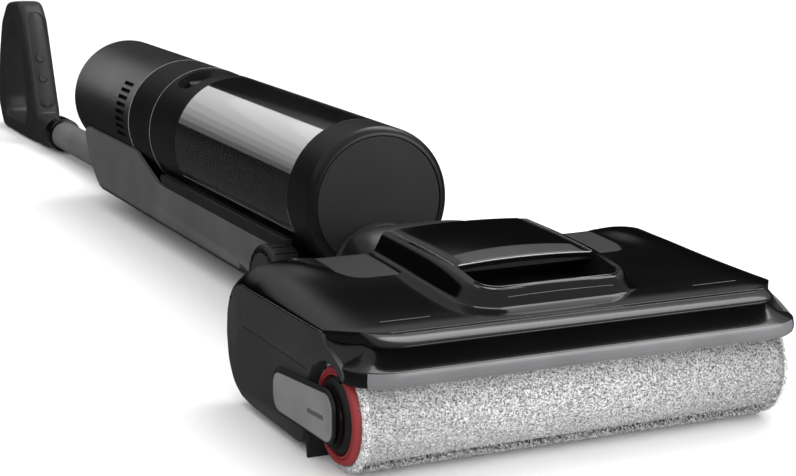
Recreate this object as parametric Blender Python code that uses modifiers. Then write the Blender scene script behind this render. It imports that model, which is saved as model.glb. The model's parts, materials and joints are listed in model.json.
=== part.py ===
"""Wet and dry floor scrubber, lying flat, built as separate named parts in metres.

The parts are drawn in a design frame: X to the right, Y backwards from the roller's axis and Z up
from the floor. One root empty moves that frame so that the origin is under the middle of the box.
"""

from math import atan2, cos, hypot, pi, radians, sin, sqrt

import bmesh
import bpy

# ---- driving dimensions -------------------------------------------------------------------------
HEAD_HALF = 0.140           # half width of the floor head
SIDE_OUT = 0.143            # outermost point of the release lever and of the motor cover
FRONT_Y = -0.037            # front of the lower lip
REAR_Y = 1.278              # back of the handle loop
GAP = 0.0003                # air between pieces that touch

ROLLER_R = 0.032            # over the pile
ROLLER_HALF = 0.131
CORE_R = 0.024
TUNNEL_R = 0.036            # wall of the chassis around the roller
SIDE_OPENING_R = 0.031      # opening of a side panel around the roller's end
PANEL_IN = ROLLER_HALF + GAP

DRIVE_Y, DRIVE_Z = 0.085, 0.034      # axis of the brush motor
LEVER_REAR = 0.0745
LEVER_HINGE = (0.0750, 0.030)        # just behind the lever
ROLLER_PULLEY_R = 0.0110
MOTOR_PULLEY_R = 0.0080
BELT_THICK = 0.0012
BELT_X = (0.1330, 0.1380)

SKIRT_Z = 0.0615            # seam between a side panel and the shells above it
COVER_REAR = 0.1312         # back edge of the sliding roller cover
HUMP_HALF = 0.052
DECK = (0.0823, 0.0905)     # front edge along Y and outer edge along X of the hinge covers
PANEL_HALF = 0.0465         # grip panel on the hump
POCKET = (0.0065, 0.066)    # finger pocket under the grip panel
GRIP_FRONT = 0.0435

TILT_Y, TILT_Z = 0.188, 0.049        # pin between the head and the neck
BARREL_R = 0.038
BARREL_HALF = 0.050
SWIVEL_Y, SWIVEL_Z = 0.2340, 0.042   # plane and axis of the swivel between the neck and the arm
SWIVEL_R = 0.036
SLEEVE_R = 0.015
SLEEVE = (0.2190, 0.2448)    # hollow sleeve that joins the neck to the arm

WHEEL_Y, WHEEL_R = 0.295, 0.029
WHEEL_X = (0.0435, 0.0650)
CASTER_X, CASTER_Y, CASTER_R = 0.085, 0.128, 0.011

BODY_Z = 0.0906             # axis of the tank and of the motor housing
BODY_R = 0.0506
WALL = 0.0024
TANK_FRONT = 0.2455
WINDOW = (0.283, 0.521)
LID_END = 0.586
BAND_END = 0.643
HOUSING_END = 0.812
DIVIDER_Y = 0.408
GRIP_SLOT = (0.540, 0.580)
GRIP_SLOT_ANGLE = radians(37)

SPINE_HALF = 0.050
SPINE_WALL = 0.0032
SPINE_FLOOR = (0.0205, 0.0232)
RAIL_TOP = 0.0525
WING_TOP = 0.0700

TUBE_Z, TUBE_R = 0.019, 0.014
TUBE = (0.700, 1.041)
COLLAR = (1.039, 1.057)
LOOP_HALF = 0.0145          # half thickness of the handle loop
FACE_FOOT = (1.113, 0.049)  # front face of the loop's front bar, as two points in Y and Z
FACE_HEAD = (1.139, 0.110)
BUTTON_R = 0.0048

TURN_STEPS = 36
SMALL_STEPS = 20

CENTRE_Y = (FRONT_Y + REAR_Y) / 2


# ---- scene, materials and placing ---------------------------------------------------------------
def clear_scene():
    for thing in list(bpy.data.objects):
        bpy.data.objects.remove(thing)


def new_collection(name):
    collection = bpy.data.collections.new(name)
    bpy.context.scene.collection.children.link(collection)
    return collection


def make_material(name, colour, roughness, metallic=0.0, alpha=1.0):
    material = bpy.data.materials.new(name)
    material.use_nodes = True
    shader = material.node_tree.nodes["Principled BSDF"]
    shader.inputs["Base Color"].default_value = (*colour, 1.0)
    shader.inputs["Roughness"].default_value = roughness
    shader.inputs["Metallic"].default_value = metallic
    shader.inputs["Alpha"].default_value = alpha
    material.diffuse_color = (*colour, alpha)
    return material


clear_scene()
PARTS = new_collection("floor_scrubber")
TOOLS = new_collection("cutters")

FINISHES = {
    "gloss_black": ((0.012, 0.012, 0.013), 0.18),
    "satin_black": ((0.020, 0.020, 0.021), 0.38),
    "dark_grey": ((0.040, 0.040, 0.042), 0.45),
    "spine_grey": ((0.085, 0.085, 0.088), 0.50),
    "lever_grey": ((0.215, 0.215, 0.220), 0.45),
    "tube_grey": ((0.150, 0.150, 0.155), 0.38),
    "rubber": ((0.015, 0.015, 0.015), 0.80),
    "red": ((0.300, 0.030, 0.035), 0.45),
    "pile": ((0.420, 0.420, 0.425), 0.95),
    "inner_plastic": ((0.060, 0.062, 0.066), 0.55),
    "cell_blue": ((0.030, 0.080, 0.220), 0.40),
}
MATERIALS = {name: make_material(name, *finish) for name, finish in FINISHES.items()}
MATERIALS["steel"] = make_material("steel", (0.55, 0.55, 0.56), 0.25, metallic=1.0)
MATERIALS["silver"] = make_material("silver", (0.60, 0.60, 0.61), 0.20, metallic=1.0)
MATERIALS["smoked"] = make_material("smoked", (0.060, 0.060, 0.062), 0.08, alpha=0.45)

AXES = {}


def add_axis(name, parent=None, place=(0.0, 0.0, 0.0)):
    """Add an empty on a joint's axis; place is in the design frame."""
    empty = bpy.data.objects.new("axis_" + name, None)
    PARTS.objects.link(empty)
    empty["design_place"] = place
    origin = (0.0, 0.0, 0.0)
    if parent:
        empty.parent = AXES[parent]
        origin = AXES[parent]["design_place"]
    empty.location = [a - b for a, b in zip(place, origin)]
    AXES[name] = empty


def hang(thing, body):
    """Parent an object that is drawn in the design frame to the empty of its body."""
    thing.parent = AXES[body]
    thing.location = [a - b for a, b in zip(thing.location, AXES[body]["design_place"])]


def part(thing, body, finish):
    """Make an object a named piece of a body, with a material."""
    for collection in list(thing.users_collection):
        collection.objects.unlink(thing)
    PARTS.objects.link(thing)
    thing.data.materials.clear()
    thing.data.materials.append(MATERIALS[finish])
    if thing.type == "MESH":
        thing.data.shade_smooth()
        thing.data.set_sharp_from_angle(angle=radians(35))
    hang(thing, body)
    return thing


def tool(thing, body):
    """Make an object a cutter, or an operand of a union, that moves with a body."""
    for collection in list(thing.users_collection):
        collection.objects.unlink(thing)
    TOOLS.objects.link(thing)
    thing.hide_render = True
    thing.display_type = "WIRE"
    hang(thing, body)
    return thing


# ---- shapes -------------------------------------------------------------------------------------
def box(name, x, y, z):
    """A box from its ranges along X, Y and Z."""
    mesh = bpy.data.meshes.new(name)
    grid = bmesh.new()
    bmesh.ops.create_cube(grid, size=1.0)
    size = [span[1] - span[0] for span in (x, y, z)]
    bmesh.ops.scale(grid, vec=size, verts=grid.verts)
    grid.to_mesh(mesh)
    grid.free()
    thing = bpy.data.objects.new(name, mesh)
    thing.location = [(span[0] + span[1]) / 2 for span in (x, y, z)]
    TOOLS.objects.link(thing)
    return thing


def turned(name, profile, axis, centre, steps=TURN_STEPS):
    """Turn a closed profile of (radius, distance along the axis) about an X or Y axis.

    centre is the axis's place, (y, z) for an X axis and (x, z) for a Y axis. A profile that
    starts and ends at radius 0 makes a solid, and any other one makes a ring.
    """
    area = 0.0
    for (r0, a0), (r1, a1) in zip(profile, profile[1:] + profile[:1]):
        area += r0 * a1 - r1 * a0
    points = profile if area < 0 else profile[::-1]
    solid = min(r for r, _ in profile) == 0.0
    edges = [(i, i + 1) for i in range(len(points) - 1)]
    if not solid:
        edges.append((len(points) - 1, 0))
    mesh = bpy.data.meshes.new(name)
    mesh.from_pydata([(r, 0.0, a) for r, a in points], edges, [])
    thing = bpy.data.objects.new(name, mesh)
    TOOLS.objects.link(thing)
    screw = thing.modifiers.new("turn", "SCREW")
    screw.steps = steps
    screw.render_steps = steps
    screw.use_merge_vertices = True
    screw.merge_threshold = 0.00001
    if axis == "X":
        thing.rotation_euler = (0.0, pi / 2, 0.0)
        thing.location = (0.0, *centre)
    else:
        thing.rotation_euler = (-pi / 2, 0.0, 0.0)
        thing.location = (centre[0], 0.0, centre[1])
    return thing


def rod(name, radius, span, axis, centre, steps=SMALL_STEPS):
    """A plain cylinder along X or Y."""
    profile = [(0.0, span[1]), (radius, span[1]), (radius, span[0]), (0.0, span[0])]
    return turned(name, profile, axis, centre, steps)


def ring(name, outer, inner, span, axis, centre, steps=TURN_STEPS):
    """A plain tube along X or Y."""
    profile = [(outer, span[1]), (outer, span[0]), (inner, span[0]), (inner, span[1])]
    return turned(name, profile, axis, centre, steps)


def fillet(points, radius, steps=4):
    """Round every corner of a closed outline with an arc of up to the given radius."""
    out = []
    count = len(points)
    for i, corner in enumerate(points):
        before, after = points[i - 1], points[(i + 1) % count]
        u = (before[0] - corner[0], before[1] - corner[1])
        v = (after[0] - corner[0], after[1] - corner[1])
        lu, lv = hypot(*u), hypot(*v)
        u = (u[0] / lu, u[1] / lu)
        v = (v[0] / lv, v[1] / lv)
        dot = max(-0.9999, min(0.9999, u[0] * v[0] + u[1] * v[1]))
        half_tan = sqrt((1 - dot) / (1 + dot))
        reach = min(radius / half_tan, 0.45 * lu, 0.45 * lv)
        bow = reach * half_tan
        middle = (u[0] + v[0], u[1] + v[1])
        length = hypot(*middle)
        far = hypot(reach, bow) / length
        centre = (corner[0] + middle[0] * far, corner[1] + middle[1] * far)
        start = (corner[0] + u[0] * reach, corner[1] + u[1] * reach)
        end = (corner[0] + v[0] * reach, corner[1] + v[1] * reach)
        a0 = atan2(start[1] - centre[1], start[0] - centre[0])
        a1 = atan2(end[1] - centre[1], end[0] - centre[0])
        turn = (a1 - a0 + pi) % (2 * pi) - pi
        for k in range(steps + 1):
            angle = a0 + turn * k / steps
            out.append((centre[0] + bow * cos(angle), centre[1] + bow * sin(angle)))
    return out


def arc(centre, radius, start, end, steps):
    """Points on an arc, with angles in degrees."""
    angles = [radians(start + (end - start) * k / steps) for k in range(steps + 1)]
    return [(centre[0] + radius * cos(a), centre[1] + radius * sin(a)) for a in angles]


def pill(centre, half_length, half_height, radius, slant=0.0):
    """A rounded rectangle, turned by slant radians."""
    corners = [(-half_length, -half_height), (half_length, -half_height),
               (half_length, half_height), (-half_length, half_height)]
    rounded = fillet(corners, radius, 4)
    return [(centre[0] + a * cos(slant) - b * sin(slant),
             centre[1] + a * sin(slant) + b * cos(slant)) for a, b in rounded]


SLAB_TURNS = {
    "X": (pi / 2, 0.0, pi / 2),      # outline in (y, z), thickness along X
    "Y": (pi / 2, 0.0, 0.0),         # outline in (x, z), thickness along Y
    "Z": (0.0, 0.0, 0.0),            # outline in (x, y), thickness along Z
}


def slab(name, outline, axis, span, holes=()):
    """A flat outline with a thickness, as a welded mesh."""
    curve = bpy.data.curves.new(name, "CURVE")
    curve.dimensions = "2D"
    curve.fill_mode = "BOTH"
    curve.extrude = (span[1] - span[0]) / 2
    for loop in (outline, *holes):
        spline = curve.splines.new("POLY")
        spline.points.add(len(loop) - 1)
        for point, (a, b) in zip(spline.points, loop):
            point.co = (a, b, 0.0, 1.0)
        spline.use_cyclic_u = True
    drawn = bpy.data.objects.new(name, curve)
    drawn.rotation_euler = SLAB_TURNS[axis]
    middle = (span[0] + span[1]) / 2
    drawn.location["XYZ".index(axis)] = middle
    TOOLS.objects.link(drawn)
    bpy.context.view_layer.update()
    evaluated = drawn.evaluated_get(bpy.context.evaluated_depsgraph_get())
    mesh = bpy.data.meshes.new_from_object(evaluated)
    grid = bmesh.new()
    grid.from_mesh(mesh)
    bmesh.ops.remove_doubles(grid, verts=grid.verts, dist=0.00001)
    bmesh.ops.recalc_face_normals(grid, faces=grid.faces)
    grid.to_mesh(mesh)
    grid.free()
    turn, place = drawn.rotation_euler.copy(), drawn.location.copy()
    bpy.data.objects.remove(drawn)
    mesh.name = name
    thing = bpy.data.objects.new(name, mesh)
    thing.rotation_euler = turn
    thing.location = place
    TOOLS.objects.link(thing)
    return thing


def soften(thing, width, segments=2, angle=40):
    """Round the sharp edges."""
    bevel = thing.modifiers.new("soften", "BEVEL")
    bevel.width = width
    bevel.segments = segments
    bevel.limit_method = "ANGLE"
    bevel.angle_limit = radians(angle)
    return thing


def combine(thing, other, operation, body):
    tool(other, body)
    boolean = thing.modifiers.new(operation.lower(), "BOOLEAN")
    boolean.operation = operation
    boolean.solver = "EXACT"
    boolean.object = other
    return thing


def cut(thing, other, body="head"):
    return combine(thing, other, "DIFFERENCE", body)


def add(thing, other, body="head"):
    return combine(thing, other, "UNION", body)


def both_sides(span):
    """The two X ranges of a pair of pieces, left and right."""
    return (("left", (-span[1], -span[0])), ("right", (span[0], span[1])))


# ---- head ---------------------------------------------------------------------------------------
def build_chassis():
    """Black underbody: roller tunnel, hollow for the drive, rear block and the two hinge ears."""
    outline = arc((0.0, ROLLER_R), TUNNEL_R, 90, 0, 8)
    outline += [(TUNNEL_R, 0.0185), (0.0425, 0.0162), (0.0425, 0.0068), (0.140, 0.0068), (0.146, 0.014),
                (0.146, SKIRT_Z - GAP), (0.046, SKIRT_Z - GAP), (0.030, 0.0715), (0.0, 0.0715)]
    chassis = slab("head_chassis", outline, "X", (-ROLLER_HALF, ROLLER_HALF))
    cut(chassis, box("cut_drive_bay", (-0.122, 0.122), (0.047, 0.111), (0.0105, 0.080)))
    cut(chassis, box("cut_dirt_inlet", (-0.030, 0.030), (0.030, 0.050), (0.022, 0.040)))
    cut(chassis, rod("cut_duct", 0.0134, (0.100, 0.150), "Y", (0.0, 0.045)))
    cut(chassis, rod("cut_motor_shaft", 0.0036, (0.120, 0.135), "X", (DRIVE_Y, DRIVE_Z)))
    ear = fillet([(0.120, 0.016), (0.206, 0.029), (0.206, 0.0655), (0.120, 0.0610)], 0.017, 5)
    for side, span in both_sides((0.0503, 0.0635)):
        add(chassis, slab("add_ear_" + side, ear, "X", span))
    for side, span in both_sides((0.040, 0.070)):
        cut(chassis, rod("cut_ear_" + side, 0.0063, span, "X", (TILT_Y, TILT_Z)))
    for side, span in both_sides((CASTER_X - 0.0078, CASTER_X + 0.0078)):
        cut(chassis, box("cut_caster_" + side, span, (0.1155, 0.1405), (0.0, 0.0245)))
    for side, span in both_sides((CASTER_X - 0.013, CASTER_X + 0.013)):
        cut(chassis, rod("cut_axle_" + side, 0.0023, span, "X", (CASTER_Y, CASTER_R)))
    part(chassis, "head", "satin_black")


def panel_outline():
    """Lower side panel: cut away around the roller's end, rounded up at the back."""
    front = arc((0.0, ROLLER_R), SIDE_OPENING_R, -8, 47, 7)
    back = [(0.024, SKIRT_Z), (0.1505, SKIRT_Z), (0.1550, 0.052), (0.156, 0.041), (0.154, 0.025),
            (0.146, 0.014), (0.135, 0.008), (0.118, 0.0055), (0.040, 0.0055), (0.0345, 0.0150)]
    return front + back


def build_side_panels():
    left = slab("side_panel_left", panel_outline(), "X", (-HEAD_HALF, -PANEL_IN))
    part(soften(left, 0.0008, 1), "head", "dark_grey")
    right = slab("side_panel_right", panel_outline(), "X", (PANEL_IN, HEAD_HALF))
    cut(right, slab("cut_belt_bay", belt_outline(0.0142 - ROLLER_PULLEY_R), "X", (0.130, 0.142)))
    part(right, "head", "dark_grey")


def belt_outline(offset, steps=10):
    """Closed loop round the two pulleys at a distance from their rims."""
    run = hypot(DRIVE_Y, DRIVE_Z - ROLLER_R)
    lean = atan2(DRIVE_Z - ROLLER_R, DRIVE_Y)
    wrap = atan2(ROLLER_PULLEY_R - MOTOR_PULLEY_R, run)
    low = lean - pi / 2 + wrap
    high = lean + pi / 2 - wrap
    loop = []
    for k in range(steps + 1):
        angle = low + (high - low) * k / steps
        radius = MOTOR_PULLEY_R + offset
        loop.append((DRIVE_Y + radius * cos(angle), DRIVE_Z + radius * sin(angle)))
    for k in range(steps + 1):
        angle = high + (2 * pi - (high - low)) * k / steps
        radius = ROLLER_PULLEY_R + offset
        loop.append((radius * cos(angle), ROLLER_R + radius * sin(angle)))
    return loop


def build_drive():
    """Brush motor, pulleys, belt and the two covers over them."""
    body = 0.016
    profile = [(0.0, 0.121), (0.006, 0.121), (0.006, 0.118), (body, 0.118), (body, 0.046),
               (body - 0.004, 0.042), (0.0, 0.042)]
    motor = turned("brush_motor", profile, "X", (DRIVE_Y, DRIVE_Z), SMALL_STEPS)
    part(motor, "head", "steel")
    shaft = [(0.0, BELT_X[1]), (MOTOR_PULLEY_R, BELT_X[1]), (MOTOR_PULLEY_R, BELT_X[0]),
             (0.003, BELT_X[0]), (0.003, 0.1213), (0.0, 0.1213)]
    pulley = turned("motor_pulley", shaft, "X", (DRIVE_Y, DRIVE_Z), SMALL_STEPS)
    part(pulley, "motor_shaft", "steel")
    belt = slab("drive_belt", belt_outline(GAP + BELT_THICK), "X", BELT_X, [belt_outline(GAP)])
    part(belt, "head", "rubber")
    cover_x = (BELT_X[0] - 0.0012, HEAD_HALF)
    cover = slab("belt_cover", belt_outline(0.0138 - ROLLER_PULLEY_R), "X", cover_x)
    bay = belt_outline(GAP + BELT_THICK + 0.0006)
    cut(cover, slab("cut_cover_bay", bay, "X", (0.130, BELT_X[1] + 0.0006)))
    part(cover, "head", "satin_black")
    cap = slab("motor_cover", pill((DRIVE_Y, DRIVE_Z), 0.026, 0.015, 0.010), "X",
               (HEAD_HALF + GAP, SIDE_OUT))
    part(soften(cap, 0.0020, 2), "head", "dark_grey")


def build_roller():
    end = 0.007
    rim = arc((ROLLER_R - end, ROLLER_HALF - end), end, 90, 0, 3)
    profile = [(r, a) for r, a in rim] + [(r, -a) for r, a in reversed(rim)]
    profile += [(CORE_R + GAP, -ROLLER_HALF), (CORE_R + GAP, ROLLER_HALF)]
    axis = (0.0, ROLLER_R)
    part(turned("roller_sleeve", profile, "X", axis, TURN_STEPS), "roller", "pile")
    core = ring("roller_core", CORE_R, 0.0210, (-ROLLER_HALF, ROLLER_HALF), "X", axis)
    part(core, "roller", "inner_plastic")
    red = [(0.0250, -0.1347), (0.0270, -0.1335), (0.0270, -PANEL_IN), (0.0206, -PANEL_IN),
           (0.0206, -0.1347), (0.0222, -0.1340)]
    part(turned("roller_end_ring", red, "X", axis), "roller", "red")
    cap = [(0.0, -0.1350), (0.0168, -0.1350), (0.0172, -0.1380), (0.0203, -0.1342), (0.0203, -0.1180),
           (0.0, -0.1180)]
    part(turned("roller_end_cap", cap, "X", axis), "roller", "dark_grey")
    hub = [(0.0, BELT_X[1]), (ROLLER_PULLEY_R, BELT_X[1]), (ROLLER_PULLEY_R, BELT_X[0]), (0.006, BELT_X[0]),
           (0.006, PANEL_IN), (0.0205, PANEL_IN), (0.0205, 0.1180), (0.0, 0.1180)]
    part(turned("roller_pulley", hub, "X", axis, 36), "roller", "satin_black")


def build_lever():
    """Release lever over the left end of the roller, hinged at its back edge.

    Both outlines are wider at the front than at the back; their corners are points in Y and Z.
    """
    pad_height, pad_inset = 0.0007, 0.0021
    rim_front, rim_radius = -0.0122, 0.0105
    pad_front, pad_rear, pad_radius = -0.0104, LEVER_REAR - pad_inset, 0.0085
    rim_out = pad_height - SIDE_OUT
    corners = [(rim_front, 0.0489), (rim_front, 0.0181), (LEVER_REAR, 0.0152), (LEVER_REAR, 0.0408)]
    rim = slab("release_lever", fillet(corners, rim_radius, 3), "X", (rim_out, -HEAD_HALF - GAP))
    part(soften(rim, 0.0006, 2), "lever", "satin_black")
    corners = [(pad_front, 0.0462), (pad_front, 0.0197), (pad_rear, 0.0170), (pad_rear, 0.0384)]
    pad = slab("release_lever_pad", fillet(corners, pad_radius, 3), "X", (-SIDE_OUT, rim_out - GAP))
    part(pad, "lever", "lever_grey")
    hub_r, hub_in = 0.0165, -0.1383
    hub = [(0.0, hub_in), (hub_r, hub_in), (hub_r, -HEAD_HALF), (0.0, -HEAD_HALF)]
    part(turned("roller_end_hub", hub, "X", (0.0, ROLLER_R), 32), "lever", "gloss_black")


def build_cover():
    """Sliding roller cover with its hump, the front visor and the grip panel."""
    skin = fillet([(COVER_REAR, 0.0795), (COVER_REAR, 0.0835), (0.090, 0.0840), (0.0, 0.0800),
                   (-0.0215, 0.0782), (-0.0300, 0.0750), (-0.0225, 0.0728), (0.0, 0.0752), (0.090, 0.0796)],
                  0.0012, 2)
    cover = slab("roller_cover", skin, "X", (-HEAD_HALF, HEAD_HALF))
    wall = [(COVER_REAR, SKIRT_Z + GAP), (COVER_REAR, 0.0815), (0.0, 0.0780), (-0.0190, 0.0765),
            (-0.0185, 0.0560), (-0.0150, 0.0500), (-0.0095, 0.0515), (-0.0040, 0.0580), (0.010, 0.0612),
            (0.024, SKIRT_Z + GAP)]
    for side, span in both_sides((HEAD_HALF - 0.0032, HEAD_HALF)):
        add(cover, slab("add_cover_side_" + side, wall, "X", span), "cover")
    hump = box("add_hump", (-HUMP_HALF, HUMP_HALF), (-0.0020, COVER_REAR), (0.0762, 0.0935))
    soften(hump, 0.004, 2)
    add(cover, hump, "cover")
    cut(cover, box("cut_hump_bay", (-0.048, 0.048), (0.0695, 0.1350), (0.0700, 0.0905)), "cover")
    pocket = box("cut_finger_pocket", (-0.044, 0.044), POCKET, (0.0795, 0.1000))
    cut(cover, soften(pocket, 0.003, 2), "cover")
    for side, span in both_sides((HUMP_HALF + GAP, DECK[1])):
        cut(cover, box("cut_hinge_notch_" + side, span, (DECK[0], 0.1400), (0.060, 0.100)), "cover")
    part(cover, "cover", "gloss_black")

    outline = fillet([(-PANEL_HALF, GRIP_FRONT), (PANEL_HALF, GRIP_FRONT), (PANEL_HALF, COVER_REAR - 0.001),
                      (-PANEL_HALF, COVER_REAR - 0.001)], 0.004, 3)
    grip = slab("grip_panel", outline, "Z", (0.0938, 0.0975))
    part(soften(grip, 0.0012, 2), "cover", "satin_black")

    lip = fillet([(-0.0195, 0.0722), (-0.0228, 0.0722), (-0.0250, 0.0685), (-0.0305, 0.0645),
                  (FRONT_Y, 0.0620), (FRONT_Y, 0.0585), (-0.0330, 0.0535), (-0.0310, 0.0540), (-0.0335, 0.0595),
                  (-0.0270, 0.0625), (-0.0215, 0.0665)], 0.0008, 1)
    visor = slab("front_visor", lip, "X", (-HEAD_HALF + 0.0035, HEAD_HALF - 0.0035))
    part(visor, "cover", "gloss_black")


def build_rear_shells():
    """The two rear shells of the head and the hinge covers beside the neck."""
    shell = fillet([(COVER_REAR + GAP, SKIRT_Z + GAP), (COVER_REAR + GAP, 0.0835), (0.1430, 0.0790),
                    (0.1515, 0.0700), (0.1545, SKIRT_Z + GAP)], 0.002, 2)
    hinge = fillet([(DECK[0] + GAP, 0.0668), (DECK[0] + GAP, 0.0825), (0.119, 0.0838), (0.138, 0.0830),
                    (0.1500, 0.0765), (0.1520, 0.0668)], 0.002, 2)
    for side, span in both_sides((DECK[1], HEAD_HALF)):
        piece = slab("rear_shell_" + side, shell, "X", span)
        part(piece, "head", "gloss_black")
    for side, span in both_sides((HUMP_HALF + 2 * GAP, DECK[1] - GAP)):
        piece = slab("hinge_cover_" + side, hinge, "X", span)
        part(soften(piece, 0.0010, 1), "head", "dark_grey")


def build_underside():
    """Squeegee, spray bar, dirt duct, casters and the tilt pins."""
    blade = [(0.0287, 0.0140), (0.0300, 0.0), (0.0318, 0.0), (0.0335, 0.0140)]
    part(slab("squeegee_blade", blade, "X", (-0.1395, 0.1395)), "head", "rubber")
    carrier = box("squeegee_carrier", (-0.1305, 0.1305), (0.0338, 0.0422), (0.0045, 0.0158))
    part(soften(carrier, 0.0010, 1), "head", "satin_black")
    bar = box("spray_bar", (-0.100, 0.100), (0.016, 0.026), (0.0718, 0.0742))
    part(bar, "head", "inner_plastic")
    duct = ring("dirt_duct", 0.0130, 0.0112, (0.0500, 0.1450), "Y", (0.0, 0.045), SMALL_STEPS)
    part(duct, "head", "inner_plastic")
    for side, middle in (("left", -CASTER_X), ("right", CASTER_X)):
        half = [(0.0, 0.0125), (0.0022, 0.0125), (0.0022, 0.0060), (0.0095, 0.0060), (CASTER_R, 0.0045)]
        profile = [(r, middle + a) for r, a in half] + [(r, middle - a) for r, a in reversed(half)]
        wheel = turned("caster_" + side, profile, "X", (CASTER_Y, CASTER_R), SMALL_STEPS)
        part(wheel, "caster_" + side, "rubber")
    for side, span in both_sides((0.0400, 0.0632)):
        pin = rod("tilt_pin_" + side, 0.0060, span, "X", (TILT_Y, TILT_Z))
        part(pin, "head", "steel")


# ---- neck and arm -------------------------------------------------------------------------------
def build_neck():
    circle = arc((TILT_Y, TILT_Z), BARREL_R, 0, 350, 35)
    barrel = slab("neck_shell", circle, "X", (-BARREL_HALF, BARREL_HALF))
    soften(barrel, 0.003, 2)
    stem = rod("add_neck_stem", SWIVEL_R, (TILT_Y + 0.009, SWIVEL_Y - GAP / 2), "Y", (0.0, SWIVEL_Z),
               TURN_STEPS)
    add(barrel, stem, "neck")
    bore, duct = SLEEVE_R + GAP, 0.0112
    step = SLEEVE[0] - 0.0005
    passage = [(0.0, 0.240), (bore, 0.240), (bore, step), (duct, step), (duct, 0.140), (0.0, 0.140)]
    cut(barrel, turned("cut_neck_passage", passage, "Y", (0.0, SWIVEL_Z), 32), "neck")
    for side, span in both_sides((0.0385, 0.055)):
        cut(barrel, rod("cut_pin_" + side, 0.0063, span, "X", (TILT_Y, TILT_Z)), "neck")
    part(barrel, "neck", "dark_grey")
    sleeve = ring("swivel_sleeve", SLEEVE_R, 0.0115, SLEEVE, "Y", (0.0, SWIVEL_Z), 32)
    part(sleeve, "neck", "inner_plastic")


def build_arm():
    """Casting between the swivel and the spine, which carries the lie-flat wheels."""
    collar = rod("arm_block", SWIVEL_R, (SWIVEL_Y + GAP / 2, 0.2450), "Y", (0.0, SWIVEL_Z), TURN_STEPS)
    beam = soften(box("add_arm_beam", (-0.0405, 0.0405), (0.2400, 0.3238), (0.0100, 0.0392)), 0.003, 2)
    add(collar, beam, "body")
    add(collar, box("add_arm_tongue", (-0.0370, 0.0370), (0.3100, 0.3480), (0.0236, 0.0360)), "body")
    cut(collar, rod("cut_arm_bore", SLEEVE_R + GAP, (0.230, 0.2494), "Y", (0.0, SWIVEL_Z), 32), "body")
    cut(collar, rod("cut_arm_axle", 0.0042, (-0.060, 0.060), "X", (WHEEL_Y, WHEEL_R)), "body")
    part(collar, "body", "dark_grey")
    axle = rod("wheel_axle", 0.0039, (-0.0635, 0.0635), "X", (WHEEL_Y, WHEEL_R), 16)
    part(axle, "body", "steel")
    for side, span in both_sides(WHEEL_X):
        bore = arc((WHEEL_Y, WHEEL_R), 0.0042, 0, 340, 17)
        wheel = slab("wheel_" + side, tread_outline(), "X", span, [bore])
        outer = span[0] if side == "left" else span[1]
        dish = ring("cut_wheel_dish_" + side, 0.0240, 0.0225, (outer - 0.0010, outer + 0.0010), "X",
                    (WHEEL_Y, WHEEL_R), 36)
        part(cut(wheel, dish, "wheel_" + side), "wheel_" + side, "rubber")


def tread_outline(blocks=24, groove=0.0016):
    """Wheel outline: blocks with a shallow groove after each one, one block at the bottom."""
    loop = []
    pitch = 360 / blocks
    for k in range(blocks):
        middle = -90 + k * pitch
        for angle, radius in ((-0.30, WHEEL_R), (0.0, WHEEL_R), (0.30, WHEEL_R), (0.50, WHEEL_R - groove)):
            loop += arc((WHEEL_Y, WHEEL_R), radius, middle + angle * pitch, middle + angle * pitch, 1)[:1]
    return loop


# ---- spine --------------------------------------------------------------------------------------
def build_spine():
    front = arc((WHEEL_Y, WHEEL_R), WHEEL_R + 0.0015, -14, 50, 6)
    outline = front + [(0.571, RAIL_TOP), (0.629, WING_TOP), (0.772, WING_TOP), (0.783, 0.0640),
                       (0.762, 0.0365), (0.745, 0.0240), (0.732, SPINE_FLOOR[0]), (0.340, SPINE_FLOOR[0])]
    spine = slab("spine_frame", outline, "X", (-SPINE_HALF, SPINE_HALF))
    inside = SPINE_HALF - SPINE_WALL
    cut(spine, box("cut_spine_channel", (-inside, inside), (0.300, 0.800), (SPINE_FLOOR[1], 0.090)), "body")
    add(spine, rod("add_tube_socket", 0.0180, (0.6885, 0.7900), "Y", (0.0, TUBE_Z), 32), "body")
    cut(spine, rod("cut_tube_socket", TUBE_R + GAP, (0.6950, 0.8000), "Y", (0.0, TUBE_Z), 32), "body")
    part(spine, "body", "spine_grey")

    strip = fillet([(0.291, 0.0528), (0.555, 0.0528), (0.562, 0.0615), (0.291, 0.0615)], 0.001, 1)
    for side, span in both_sides((0.0440, SPINE_HALF)):
        piece = slab("cradle_strip_" + side, strip, "X", span)
        cut(piece, rod("cut_strip_wheel_" + side, WHEEL_R + 0.0012, (-0.07, 0.07), "X",
                       (WHEEL_Y, WHEEL_R), 32), "body")
        part(piece, "body", "satin_black")

    pump = rod("water_pump", 0.0070, (0.350, 0.405), "Y", (0.0, 0.0315), SMALL_STEPS)
    part(pump, "body", "inner_plastic")


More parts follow.
